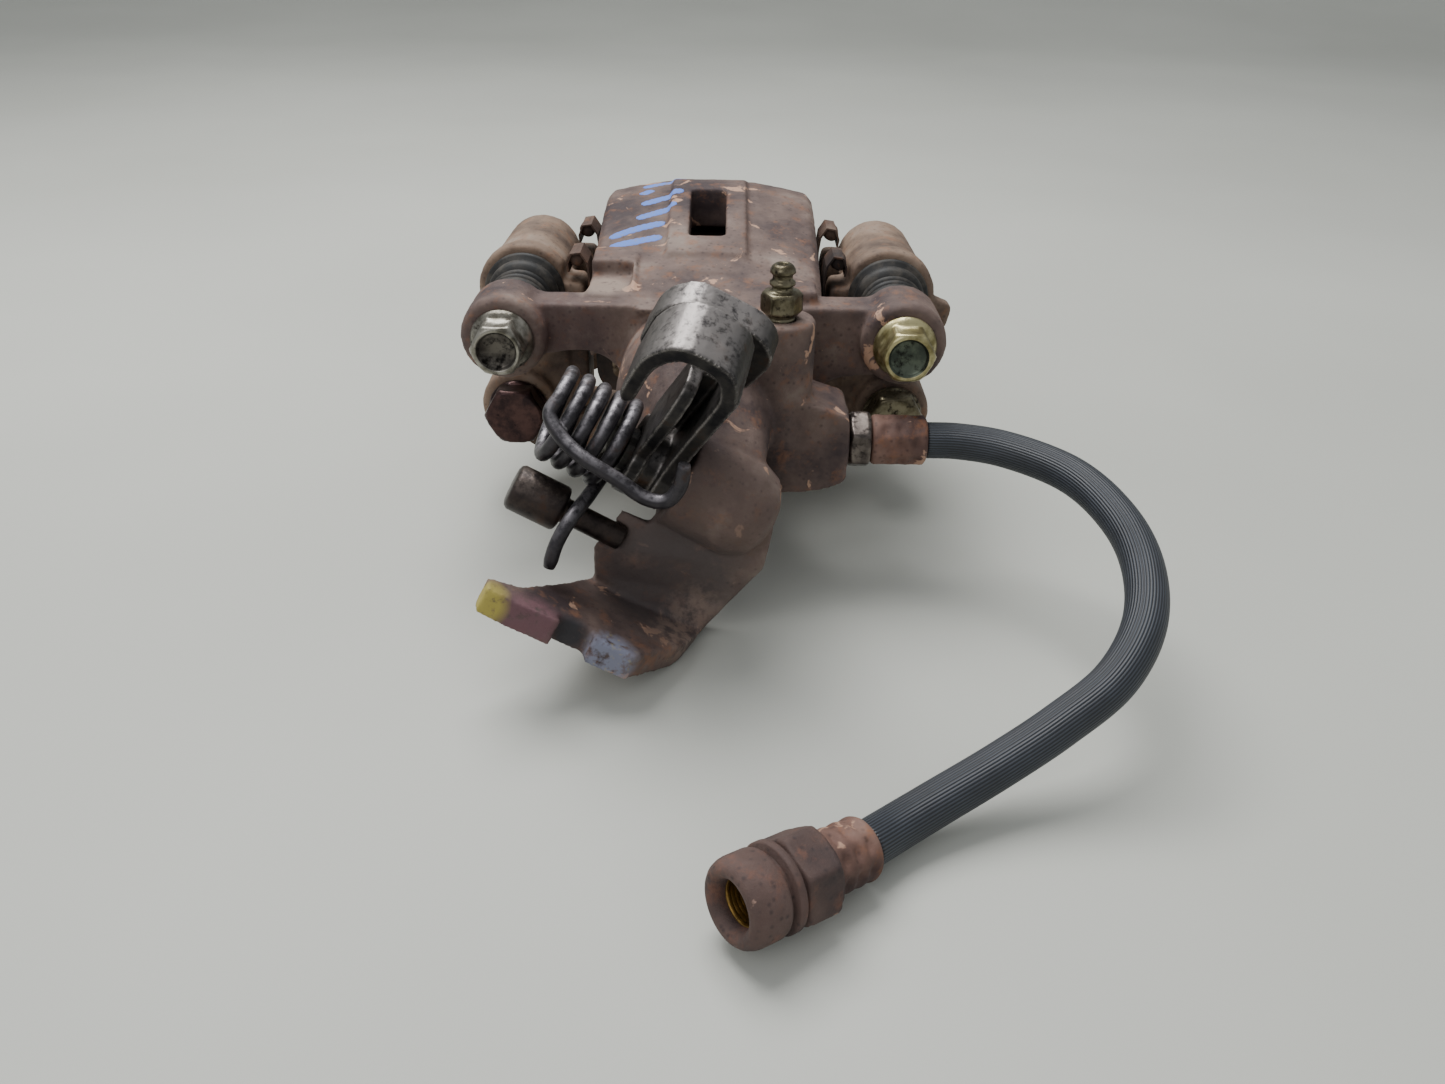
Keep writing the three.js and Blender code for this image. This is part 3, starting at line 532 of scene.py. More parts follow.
@dataclass(frozen=True)
class RustedCastIron(Finish):
    """Sand-cast grey iron with a dry, mottled coat of rust."""

    name: str
    skin: str = "6f5c54"
    deep: str = "3d3031"
    bloom: str = "8b5f45"
    patch: str = "c29a80"
    dust: str = "8f8076"
    patch_at: float = 0.635
    grit_mm: float = 0.7
    tints: tuple[Tint, ...] = ()

    def build(self) -> bpy.types.Material:
        """Blotches of brown, orange bloom, pale flaked patches and a gritty bump."""
        material, tree, shader = new_material(self.name)
        where = add_node(tree, "ShaderNodeTexCoord").outputs["Object"]
        # Wide dark and light areas, as oil and road dirt leave on bare casting.
        blotch = noise(tree, where, 26, 5.0, 0.6)
        areas = ramp(tree, [(0.36, self.deep), (0.56, self.skin), (0.72, self.dust)], blotch)
        # Orange bloom in grains of a few millimetres.
        grains = noise(tree, where, 6, 8.0, 0.68)
        bloom_mask = ramp(tree, [(0.54, 0.0), (0.68, 0.6)], grains)
        bloomed = overlay(tree, areas, self.bloom, bloom_mask)
        # Pale salmon flakes where scale has come away.
        flakes = add_node(
            tree, "ShaderNodeTexNoise",
            {"Scale": per_mm(9), "Detail": 10.0, "Roughness": 0.58, "Distortion": 0.6}, {"Vector": where},
        )
        flake_mask = ramp(tree, [(self.patch_at, 0.0), (self.patch_at + 0.025, 0.85)], flakes)
        flaked = overlay(tree, bloomed.outputs[2], self.patch, flake_mask)
        # Fine dark pits.
        pits = add_node(
            tree, "ShaderNodeTexVoronoi", {"Scale": per_mm(2.2), "Randomness": 1.0}, {"Vector": where},
        )
        pit_mask = ramp(tree, [(0.08, 0.55), (0.30, 0.0)], pits.outputs["Distance"])
        pitted = overlay(tree, flaked.outputs[2], self.deep, pit_mask)
        colour = pitted.outputs[2]
        for tint in self.tints:
            colour = self.tinted(tree, where, colour, tint)
        tree.links.new(colour, shader.inputs["Base Color"])
        grit = noise(tree, where, self.grit_mm, 6.0, 0.75)
        relief = add_node(
            tree, "ShaderNodeMath", {"operation": "MULTIPLY_ADD", 1: 0.5}, {0: grit, 2: grains},
        )
        gloss = add_node(tree, "ShaderNodeMapRange", {"To Min": 0.52, "To Max": 0.92}, {"Value": grains})
        tree.links.new(gloss.outputs[0], shader.inputs["Roughness"])
        bump = add_node(tree, "ShaderNodeBump", {"Strength": 0.55, "Distance": 0.0005}, {"Height": relief})
        tree.links.new(bump.outputs[0], shader.inputs["Normal"])
        shader.inputs["Metallic"].default_value = 0.1
        return material

    def tinted(self, tree: bpy.types.NodeTree, where, colour, tint: Tint):
        """Lay one tint over a colour.

        Args:
            tree: the material's node tree.
            where: the object coordinates.
            colour: the colour under it.
            tint: the area and its colour.

        Returns:
            The output socket of the mixed colour.
        """
        away = add_node(
            tree, "ShaderNodeVectorMath", {"operation": "DISTANCE", 1: place(*tint.centre)}, {0: where},
        )
        reach = add_node(
            tree, "ShaderNodeMapRange",
            {"From Min": tint.radius * 0.0011, "From Max": tint.radius * 0.0006, "To Max": 1.0}, {
                "Value": away.outputs["Value"],
            },
        )
        breakup = noise(tree, where, tint.grain_mm, 8.0, 0.62)
        specks = add_node(
            tree, "ShaderNodeMapRange", {"From Min": tint.solid, "From Max": tint.solid + 0.16},
            {"Value": breakup},
        )
        both = add_node(tree, "ShaderNodeMath", {"operation": "MULTIPLY"}, {0: reach, 1: specks})
        amount = add_node(
            tree, "ShaderNodeMath", {"operation": "MULTIPLY", 1: tint.amount, "use_clamp": True},
            {0: both},
        )
        return overlay(tree, colour, tint.colour, amount).outputs[2]


@dataclass(frozen=True)
class OiledSteel(Finish):
    """Forged or wound steel, black with old grease, polished where it rubs, and with a painted highlight on
    its upper faces.
    """

    name: str
    dark: str = "1b1a1e"
    film: str = "3b3836"
    # The bright colour of the rubbed edges, also used as a painted highlight on upper faces.
    worn: str = "b5aeaa"
    # How strong the edge wear and the painted top highlight are.
    wear_and_highlight: float = 0.7
    wear_from: float = 0.52
    rust: str = "4c3527"

    def build(self) -> bpy.types.Material:
        """A dark film with patches of rusty breath, bright scuffs on the edges and a painted highlight on
        upper faces.
        """
        material, tree, shader = new_material(self.name)
        where = add_node(tree, "ShaderNodeTexCoord").outputs["Object"]
        film = noise(tree, where, 8, 6.0, 0.62)
        base = ramp(tree, [(0.38, self.dark), (0.58, self.film), (0.75, self.rust)], film)
        # Edges: where the shading normal, rounded over 0.8 mm, leaves the true one.
        round_normal = add_node(tree, "ShaderNodeBevel", {"samples": 4, "Radius": 0.0009})
        true_normal = add_node(tree, "ShaderNodeNewGeometry").outputs["Normal"]
        same = add_node(
            tree, "ShaderNodeVectorMath", {"operation": "DOT_PRODUCT"}, {0: round_normal, 1: true_normal},
        )
        edge = add_node(
            tree, "ShaderNodeMapRange", {"From Min": 0.995, "From Max": 0.93},
            {"Value": same.outputs["Value"]},
        )
        scuffs = noise(tree, where, 2.5, 8.0, 0.7)
        scuff_mask = add_node(
            tree, "ShaderNodeMapRange", {"From Min": self.wear_from, "From Max": self.wear_from + 0.14},
            {"Value": scuffs},
        )
        # Painted highlight: faces that point upward get the bright worn colour, as if lit from above.
        up = add_node(tree, "ShaderNodeSeparateXYZ", {}, {0: true_normal})
        painted_top_highlight = add_node(
            tree, "ShaderNodeMapRange", {"From Min": 0.25, "From Max": 0.95, "To Max": 0.65},
            {"Value": up.outputs["Z"]},
        )
        edge_wear_and_top_highlight = add_node(tree, "ShaderNodeMath", {"operation": "MAXIMUM"}, {0: edge, 1: painted_top_highlight})
        broken = add_node(
            tree, "ShaderNodeMath", {"operation": "MULTIPLY_ADD", 1: 0.75, 2: 0.15}, {0: scuff_mask},
        )
        amount = add_node(tree, "ShaderNodeMath", {"operation": "MULTIPLY"}, {0: edge_wear_and_top_highlight, 1: broken})
        wear_and_highlight = add_node(
            tree, "ShaderNodeMath", {"operation": "MULTIPLY", 1: self.wear_and_highlight, "use_clamp": True},
            {0: amount},
        )
        colour = overlay(tree, base, self.worn, wear_and_highlight)
        tree.links.new(colour.outputs[2], shader.inputs["Base Color"])
        gloss = add_node(tree, "ShaderNodeMapRange", {"To Min": 0.28, "To Max": 0.6}, {"Value": film})
        tree.links.new(gloss.outputs[0], shader.inputs["Roughness"])
        bump = add_node(tree, "ShaderNodeBump", {"Strength": 0.35, "Distance": 0.0003}, {"Height": scuffs})
        tree.links.new(bump.outputs[0], shader.inputs["Normal"])
        shader.inputs["Metallic"].default_value = 0.8
        return material


@dataclass(frozen=True)
class ZincPlate(Finish):
    """Zinc-plated steel, dulled, with grime and rust breaking through."""

    name: str
    plate: str = "9a968c"
    shade: str = "5a564c"
    grime: str = "2c2723"
    grime_at: float = 0.56

    def build(self) -> bpy.types.Material:
        """Cloudy plating under spots of grime."""
        material, tree, shader = new_material(self.name)
        where = add_node(tree, "ShaderNodeTexCoord").outputs["Object"]
        cloud = noise(tree, where, 5, 6.0, 0.6)
        base = ramp(tree, [(0.4, self.shade), (0.6, self.plate)], cloud)
        spots = noise(tree, where, 3, 9.0, 0.65)
        mask = add_node(
            tree, "ShaderNodeMapRange", {"From Min": self.grime_at, "From Max": self.grime_at + 0.12},
            {"Value": spots},
        )
        colour = overlay(tree, base, self.grime, mask.outputs[0])
        tree.links.new(colour.outputs[2], shader.inputs["Base Color"])
        gloss = add_node(
            tree, "ShaderNodeMapRange", {"To Min": 0.3, "To Max": 0.75}, {"Value": mask.outputs[0]},
        )
        tree.links.new(gloss.outputs[0], shader.inputs["Roughness"])
        bump = add_node(tree, "ShaderNodeBump", {"Strength": 0.3, "Distance": 0.0002}, {"Height": spots})
        tree.links.new(bump.outputs[0], shader.inputs["Normal"])
        shader.inputs["Metallic"].default_value = 0.85
        return material


@dataclass(frozen=True)
class MouldedRubber(Finish):
    """Moulded EPDM rubber: matt black with a grey bloom of dust."""

    name: str
    black: str = "131211"
    bloom: str = "4a443d"

    def build(self) -> bpy.types.Material:
        """Dust gathers in soft patches."""
        material, tree, shader = new_material(self.name)
        where = add_node(tree, "ShaderNodeTexCoord").outputs["Object"]
        dust = noise(tree, where, 5, 7.0, 0.66)
        colour = ramp(tree, [(0.45, self.black), (0.72, self.bloom)], dust)
        tree.links.new(colour.outputs[0], shader.inputs["Base Color"])
        gloss = add_node(tree, "ShaderNodeMapRange", {"To Min": 0.45, "To Max": 0.85}, {"Value": dust})
        tree.links.new(gloss.outputs[0], shader.inputs["Roughness"])
        bump = add_node(tree, "ShaderNodeBump", {"Strength": 0.2, "Distance": 0.0002}, {"Height": dust})
        tree.links.new(bump.outputs[0], shader.inputs["Normal"])
        return material


@dataclass(frozen=True)
class RibbedHoseCover(Finish):
    """Extruded EPDM hose cover: blue-black, with fine ribs along its length."""

    name: str = "extruded_epdm_hose"
    black: str = "17191e"
    # The grey of the dust bloom, also used as the painted highlight on the rib crests.
    bloom: str = "3e444d"
    ribs: int = 44

    def build(self) -> bpy.types.Material:
        """Ribs about 0.75 mm apart round the hose; their crests get a painted highlight, shown in patches
        where the dust noise is high.
        """
        material, tree, shader = new_material(self.name)
        where = add_node(tree, "ShaderNodeTexCoord").outputs["Object"]
        unwrapped = add_node(tree, "ShaderNodeUVMap", {"uv_map": "round_and_along"})
        split = add_node(tree, "ShaderNodeSeparateXYZ", {}, {0: unwrapped})
        turns = add_node(
            tree, "ShaderNodeMath", {"operation": "MULTIPLY", 1: 2 * math.pi * self.ribs},
            {0: split.outputs["X"]},
        )
        wave = add_node(tree, "ShaderNodeMath", {"operation": "SINE"}, {0: turns})
        crest = add_node(tree, "ShaderNodeMapRange", {"From Min": -1.0, "From Max": 1.0}, {"Value": wave})
        dust = noise(tree, where, 12, 7.0, 0.7)
        # Painted highlight: the rib crests are painted lighter, broken up by the dust noise.
        dust_and_rib_highlight = add_node(tree, "ShaderNodeMath", {"operation": "MULTIPLY"}, {0: crest, 1: dust})
        colour = ramp(tree, [(0.08, self.black), (0.62, self.bloom)], dust_and_rib_highlight)
        tree.links.new(colour.outputs[0], shader.inputs["Base Color"])
        gloss = add_node(tree, "ShaderNodeMapRange", {"To Min": 0.34, "To Max": 0.62}, {"Value": dust})
        tree.links.new(gloss.outputs[0], shader.inputs["Roughness"])
        bump = add_node(tree, "ShaderNodeBump", {"Strength": 0.5, "Distance": 0.00025}, {"Height": crest})
        tree.links.new(bump.outputs[0], shader.inputs["Normal"])
        return material


@dataclass(frozen=True)
class FrictionLining(Finish):
    """Pressed friction material: dark grey, with metal and mineral grains."""

    name: str = "pressed_friction_lining"
    binder: str = "34312f"
    grain: str = "857c70"

    def build(self) -> bpy.types.Material:
        """Grains about 1 mm across in a matt binder."""
        material, tree, shader = new_material(self.name)
        where = add_node(tree, "ShaderNodeTexCoord").outputs["Object"]
        grains = add_node(tree, "ShaderNodeTexVoronoi", {"Scale": per_mm(1.4)}, {"Vector": where})
        colour = ramp(tree, [(0.12, self.grain), (0.3, self.binder)], grains.outputs["Distance"])
        tree.links.new(colour.outputs[0], shader.inputs["Base Color"])
        bump = add_node(
            tree, "ShaderNodeBump", {"Strength": 0.4, "Distance": 0.0003},
            {"Height": grains.outputs["Distance"]},
        )
        tree.links.new(bump.outputs[0], shader.inputs["Normal"])
        shader.inputs["Roughness"].default_value = 0.92
        return material


@dataclass(frozen=True)
class PaintMarker(Finish):
    """Paint-marker ink: flat blue, worn thin over the casting's grain."""

    name: str = "paint_marker_blue"
    ink: str = "5b80d6"
    thin: str = "7d86ad"

    def build(self) -> bpy.types.Material:
        """The ink thins out in specks."""
        material, tree, shader = new_material(self.name)
        where = add_node(tree, "ShaderNodeTexCoord").outputs["Object"]
        specks = noise(tree, where, 1.6, 6.0, 0.7)
        colour = ramp(tree, [(0.5, self.ink), (0.66, self.thin)], specks)
        tree.links.new(colour.outputs[0], shader.inputs["Base Color"])
        bump = add_node(tree, "ShaderNodeBump", {"Strength": 0.3, "Distance": 0.0003}, {"Height": specks})
        tree.links.new(bump.outputs[0], shader.inputs["Normal"])
        shader.inputs["Roughness"].default_value = 0.7
        return material


@dataclass(frozen=True)
class FloorPaint(Finish):
    """The stage's plain pale floor."""

    name: str = "pale_floor"
    tone: str = "b9bab2"

    def build(self) -> bpy.types.Material:
        """One matt tone with a trace of unevenness."""
        material, tree, shader = new_material(self.name)
        where = add_node(tree, "ShaderNodeTexCoord").outputs["Object"]
        cloud = add_node(tree, "ShaderNodeTexNoise", {"Scale": 3.0, "Detail": 3.0}, {"Vector": where})
        colour = ramp(tree, [(0.3, self.tone), (0.7, "c4c5bd")], cloud)
        tree.links.new(colour.outputs[0], shader.inputs["Base Color"])
        shader.inputs["Roughness"].default_value = 0.6
        return material


HOUSING_TINTS = (
    Tint((2, -50, 40), 22, "5d4c45", 0.75, 9.0, 0.3),
    Tint((-8, -47, 22), 24, "4c4443", 0.8, 10.0, 0.32),
    Tint((0, -58, 10), 13, "8f7a6e", 0.8, 3.0, 0.4),
    Tint((-2, -69, 15), 10, "96674b", 0.75, 5.0, 0.42),
    Tint((-41, 8, 70), 16, "4a3636", 0.6, 8.0, 0.34),
    Tint((-41, -81, 27), 9, "6b4a50", 0.9, 3.0, 0.3),
    Tint((-51.5, -79, 31.5), 6, "a89a4a", 0.95, 2.5, 0.3),
    Tint((-32, -77, 21), 5, "2b2a2e", 0.9, 2.0, 0.25),
    Tint((-21.5, -81, 16), 8, "7d8092", 0.9, 2.5, 0.34),
    Tint((-21.5, -81, 16), 8, "a89c62", 0.9, 1.8, 0.58),
    Tint((-30, 20, 80), 9, "9c8a7d", 0.8, 3.0, 0.3),
)
HOUSING_IRON = RustedCastIron("rusted_cast_iron", tints=HOUSING_TINTS)
CARRIER_IRON = RustedCastIron(
    "rusted_carrier_iron", skin="86705f", deep="4a3b33", bloom="8f664a", patch="a68f7b", dust="97877a",
    patch_at=0.7,
)
LEVER_STEEL = OiledSteel("greased_forged_steel", wear_and_highlight=1.15, wear_from=0.36)
WIRE_STEEL = OiledSteel(
    "greased_spring_wire", dark="2a282c", film="403d40", worn="b9b4b8", wear_and_highlight=0.9, wear_from=0.42,
)
PIN_STEEL = OiledSteel(
    "rusty_stop_pin_steel", dark="1f1b1c", film="3f3633", worn="85786f", wear_and_highlight=0.7, wear_from=0.46,
)
INNER_STEEL = OiledSteel("greased_machined_steel", film="46433f", worn="8c8983")
DULL_ZINC = ZincPlate("dulled_zinc_plate")
UNION_ZINC = ZincPlate(
    "grey_brown_zinc_plate", plate="7b726b", shade="4d4643", grime="2a2422", grime_at=0.52,
)
YELLOW_ZINC = ZincPlate(
    "yellow_passivated_zinc", plate="b9b084", shade="82784f", grime="3b3320", grime_at=0.6,
)
OLIVE_ZINC = ZincPlate("olive_zinc_plate", plate="7c7560", shade="4e4736", grime="2a231b", grime_at=0.55)
RUST_BROWN = ZincPlate("rust_brown_steel", plate="4e3936", shade="2f2324", grime="1b1516", grime_at=0.62)
CRIMPED_STEEL = RustedCastIron(
    "rusted_crimped_steel", skin="75574c", deep="3d2a27", bloom="96613f", patch="b58f78", dust="8c7166",
    patch_at=0.6, grit_mm=0.5,
)
FITTING_STEEL = RustedCastIron(
    "rust_browned_turned_steel", skin="59453f", deep="2d2426", bloom="7c5444", patch="9d7f70",
    dust="6a5550", patch_at=0.66, grit_mm=0.5,
)
# A darker finish for the recessed end face of the guide bolt.
DARK_FACE = ZincPlate("dark_recessed_bolt_face", plate="5c5751", shade="37332f", grime="1d1a18", grime_at=0.5)
GREEN_FACE = ZincPlate(
    "green_marked_bolt_face", plate="5b6255", shade="40463f", grime="2a2c26", grime_at=0.5,
)
CLIP_STEEL = RustedCastIron(
    "rusted_clip_steel", skin="5b463b", deep="2b211e", bloom="8a5a3a", patch="9a7a64", dust="6e5c50",
    patch_at=0.68, grit_mm=0.5,
)
HARD_CHROME = ZincPlate("hard_chrome", plate="c9c9cc", shade="b0b0b4", grime="6b655c", grime_at=0.7)
STAINED_STAINLESS = ZincPlate(
    "stained_stainless_sheet", plate="8c7d6d", shade="5b4b3e", grime="3a2a20", grime_at=0.52,
)
BACKING_PAINT = RustedCastIron(
    "painted_backing_plate", skin="4b3d36", deep="211b19", bloom="744a35", patch="7a6253", dust="5b5049",
    patch_at=0.68,
)
BOOT_RUBBER = MouldedRubber("moulded_epdm_rubber")
BRASS_THREAD = ZincPlate("worn_brass_thread", plate="a58345", shade="6b5228", grime="2a2016", grime_at=0.6)


# ---------------------------------------------------------------- stage


@dataclass
class Stage:
    """Floor, soft lights and the camera."""

    eye_mm: Point = (6.5, -319.0, 190.0)
    pitch_deg: float = 30.3
    roll_deg: float = 1.0
    lens_mm: float = 29.02

    def build(self) -> None:
        """Make the camera first, then the floor and the lights."""
        self.camera()
        self.floor()
        self.lights()

    def camera(self) -> None:
        """A level view from above and in front, with a slight roll."""
        data = bpy.data.cameras.new("camera")
        data.lens, data.sensor_width, data.sensor_fit = self.lens_mm, 36.0, "HORIZONTAL"
        data.clip_start = 0.01
        camera = bpy.data.objects.new("camera", data)
        bpy.context.scene.collection.objects.link(camera)
        turn = Matrix.Rotation(math.radians(90.0 - self.pitch_deg), 4, "X") @ Matrix.Rotation(
            math.radians(self.roll_deg), 4, "Z",
        )
        camera.matrix_world = Matrix.Translation(place(*self.eye_mm)) @ turn
        bpy.context.scene.camera = camera

    def floor(self) -> None:
        """A wide plain sheet that curves up far behind the part."""
        rows = [(-3.0, 0.0), (1.2, 0.0), (1.5, 0.03), (1.75, 0.14), (1.95, 0.4), (2.0, 1.6)]
        verts = [(x, y, z) for y, z in rows for x in (-3.0, 3.0)]
        faces = [[2 * i, 2 * i + 1, 2 * i + 3, 2 * i + 2] for i in range(len(rows) - 1)]
        sheet = new_object("floor", verts, faces)
        sheet.data.materials.append(FloorPaint().material())

    def lights(self) -> None:
        """An even room with a broad light above and behind, and a weak one in front."""
        world = bpy.data.worlds.new("room")
        world.use_nodes = True
        world.node_tree.nodes["Background"].inputs["Color"].default_value = linear("e8ecf0")
        world.node_tree.nodes["Background"].inputs["Strength"].default_value = 0.6
        bpy.context.scene.world = world
        for name, power, size, spot, aim in (
            ("overhead", 13.0, 0.7, (-0.2, 0.3, 0.95), (0.0, 0.0, 0.03)),
            ("front_fill", 2.8, 0.8, (-0.5, -0.9, 0.75), (0.0, 0.0, 0.03)),
        ):
            data = bpy.data.lights.new(name, "AREA")
            data.energy, data.size = power, size
            lamp = bpy.data.objects.new(name, data)
            lamp.location = spot
            lamp.rotation_euler = (Vector(aim) - Vector(spot)).to_track_quat("-Z", "Y").to_euler()
            bpy.context.scene.collection.objects.link(lamp)


# ---------------------------------------------------------------- the hose


@dataclass
class BrakeHose:
    """The flexible hose with its union, two crimped ferrules and the end fitting."""

    radius: float = 5.25
    port: Point = (42.0, -12.0, 46.0)
    run: Point = (-0.794, -0.596, 0.125)
    route: tuple[Point, ...] = (
        (65, -12, 46), (74, -12.4, 46), (87, -16.4, 45.6), (103, -30, 44.4), (111, -52, 42), (111, -74, 39),
        (106.6, -90, 34), (98.3, -100.6, 27), (84.8, -108.2, 19.5), (70.3, -115, 13), (54.4, -123.6, 8.6),
        (44.8, -130, 7.3), (38.1, -136.1, 8.2),
    )
    near_sleeve: tuple[float, float] = (6.7, 15.9)
    far_sleeve: tuple[float, float] = (0.6, 13.1)
    route_steps: int = 150

    def build(self) -> None:
        start, out = place(*self.port), Vector((1, 0, 0))
        end, far = place(*self.route[-1]), Vector(self.run).normalized()
        union = revolve(
            "inlet_union",
            [
                (0, -14), (4.2, -14), (4.8, -13.2), (4.8, 0.3), (7.2, 0.3, 1), (8.4, 0.9, 1),
                (8.66, 1.4, 1), (8.66, 5.2, 1), (8.2, 5.9, 1), (7.2, 6.4, 1), (0, 6.4),
            ],
            start, out, flats_mm=15.0,
        )
        finish_piece(union, UNION_ZINC, Body.CALIPER, ["hose_inlet_union"])
        near = self.ferrule("near_ferrule", start, out, *self.near_sleeve)
        finish_piece(near, CRIMPED_STEEL, Body.CALIPER, ["hose_ferrule_near"])
        tail = self.ferrule("far_ferrule", end, far, *self.far_sleeve)
        finish_piece(tail, CRIMPED_STEEL, Body.CALIPER, ["hose_ferrule_far"])
        fitting = self.end_fitting(end, far)
        thread = self.thread(end, far)
        line = smooth_route([place(*p) for p in self.route], self.route_steps)
        hose = sweep("hose_line", line, lambda s: self.radius / 1000.0, 48)
        finish_piece(hose, RibbedHoseCover(), Body.CALIPER, ["brake_hose"])

    def ferrule(self, name: str, at: Vector, axis: Vector, start: float, length: float) -> bpy.types.Object:
        """A steel sleeve crimped onto the hose in three bands of eight dents.

        Args:
            name: the piece's name.
            at: where its axis starts.
            axis: the axis's direction.
            start: the distance of its first face along the axis, in mm.
            length: its length in mm.

        Returns:
            The sleeve.
        """
        profile = [(0, start), (6.0, start), (6.9, start + 0.5), (7.2, start + 1.2)]
        steps = 26
        for i in range(1, steps):
            profile.append((7.2, start + 1.2 + (length - 2.2) * i / steps))
        profile += [(7.1, start + length - 0.7), (6.2, start + length), (0, start + length)]

        def crimp(angle: float, height: float) -> float:
            """The depth of the dents at an angle and a distance along the sleeve."""
            s = (height - start) / length
            if not 0.12 < s < 0.92:
                return 0.0
            band = 0.5 - 0.5 * math.cos(2 * math.pi * 3 * (s - 0.12) / 0.8)
            return -band * (0.48 + 0.4 * math.cos(8 * angle + 2.0 * s))

        return revolve(name, profile, at, axis, wobble=crimp, segments=80)

    def end_fitting(self, end: Vector, far: Vector) -> bpy.types.Object:
        """The female fitting: hexagon, thin collar, groove and a round nose with a threaded bore.

        Args:
            end: where the hose ends.
            far: the direction the fitting points in.

        Returns:
            The fitting.
        """
        profile = [
            (0, 13.9), (6.6, 13.9), (9.2, 14.1, 1), (10.0, 14.7, 1), (10.39, 15.3, 1), (10.39, 22.2, 1),
            (9.9, 23.0, 1), (9.0, 23.4, 1),
            (7.6, 23.5), (7.6, 24.1), (9.4, 24.2), (9.8, 24.5), (9.8, 25.9), (9.4, 26.2), (7.8, 26.3),
            (7.6, 26.6), (7.6, 27.3),
            (8.5, 27.5), (9.3, 28.0), (9.6, 28.9), (9.6, 33.4), (9.45, 34.5), (9.0, 35.7), (8.3, 36.5),
            (7.4, 36.9),
            (6.6, 36.8), (5.9, 36.2), (5.3, 35.2), (5.1, 34.2), (5.1, 24.2), (3.9, 23.2), (0, 22.8),
        ]
        piece = revolve("end_fitting", profile, end, far, flats_mm=18.0, segments=84, phase=0.2)
        return finish_piece(piece, FITTING_STEEL, Body.CALIPER, ["hose_end_fitting"])

    def thread(self, end: Vector, far: Vector) -> bpy.types.Object:
        """The thread inside the fitting, a ribbed sleeve with a 1 mm pitch.

        Args:
            end: where the hose ends.
            far: the direction the fitting points in.

        Returns:
            The thread.
        """
        profile: list[tuple[float, float]] = [(5.07, 24.4)]
        for i in range(9):
            h = 24.5 + i
            profile += [(5.0, h), (4.4, h + 0.45), (5.0, h + 0.9)]
        profile += [(5.07, 33.7), (5.07, 24.4)]
        piece = revolve("fitting_thread", profile, end, far, segments=64)
        return finish_piece(piece, BRASS_THREAD, Body.CALIPER)


# ---------------------------------------------------------------- castings


@dataclass
class Castings:
    """The caliper housing and the carrier, as cast."""

    def build(self) -> None:
        """Make both castings and the paint strokes on the bridge."""
        housing = cast_copy("caliper_housing", "housing_casting", 0.75, 4, 0.3, 3.0)
        finish_piece(housing, HOUSING_IRON, Body.CALIPER, ["caliper_housing"])
        carrier = cast_copy("carrier_bracket", "carrier_casting", 0.9, 4, 0.25, 3.0)
        finish_piece(carrier, CARRIER_IRON, Body.CARRIER, ["carrier_bracket"])
        self.paint_strokes(housing)

    def paint_strokes(self, housing: bpy.types.Object) -> None:
        """Blue marker strokes laid on the bridge beside its window.

        Args:
            housing: the casting they lie on.
        """
        strokes = (
            ((-31.0, 45.5), (-22, 46.2), (-14.2, 47.0)), ((-31.5, 51.5), (-22, 54.5), (-13.6, 56.0)),
            ((-23.5, 61.5), (-16, 64), (-10.5, 66.5)), ((-22.5, 72.0), (-15, 74.5), (-8.5, 76.5)),
            ((-23.0, 81.0), (-19.5, 84.5)), ((-23.0, 89.0), (-15, 91.0), (-8.0, 92.0)),
        )
        depsgraph = bpy.context.evaluated_depsgraph_get()
        surface = BVHTree.FromObject(housing, depsgraph)
        verts: list[Vector] = []
        faces: list[list[int]] = []
        for stroke in strokes:
            line = smooth_route([Vector((x, y, 0)) for x, y in stroke], 26)
            first = len(verts)
            for i, p in enumerate(line):
                ahead = (line[min(i + 1, len(line) - 1)] - line[max(i - 1, 0)]).normalized()
                side = Vector((-ahead.y, ahead.x, 0))
                width = STROKE_HALF_WIDTH_MM * math.sqrt(
                    max(0.0, 1 - (2 * i / (len(line) - 1) - 1) ** 8)
                ) + 0.2 * math.sin(2.1 * i)
                for k in range(-2, 3):
                    q = p + side * (width * k / 2)
                    hit = surface.ray_cast(place(q.x, q.y, 130), Vector((0, 0, -1)))[0]
                    verts.append(
                        (hit or place(q.x, q.y, 90)) + Vector((0, 0, 0.00012 if abs(k) < 2 else -0.0001))
                    )
            for i in range(len(line) - 1):
                for k in range(4):
                    a = first + i * 5 + k
                    faces.append([a, a + 1, a + 6, a + 5])
        marks = new_object("paint_strokes", verts, faces)
        skin = marks.modifiers.new("film", "SOLIDIFY")
        skin.thickness, skin.offset = 0.0001, -1.0
        finish_piece(marks, PaintMarker(), Body.CALIPER, ())


# ---------------------------------------------------------------- guides and fixings


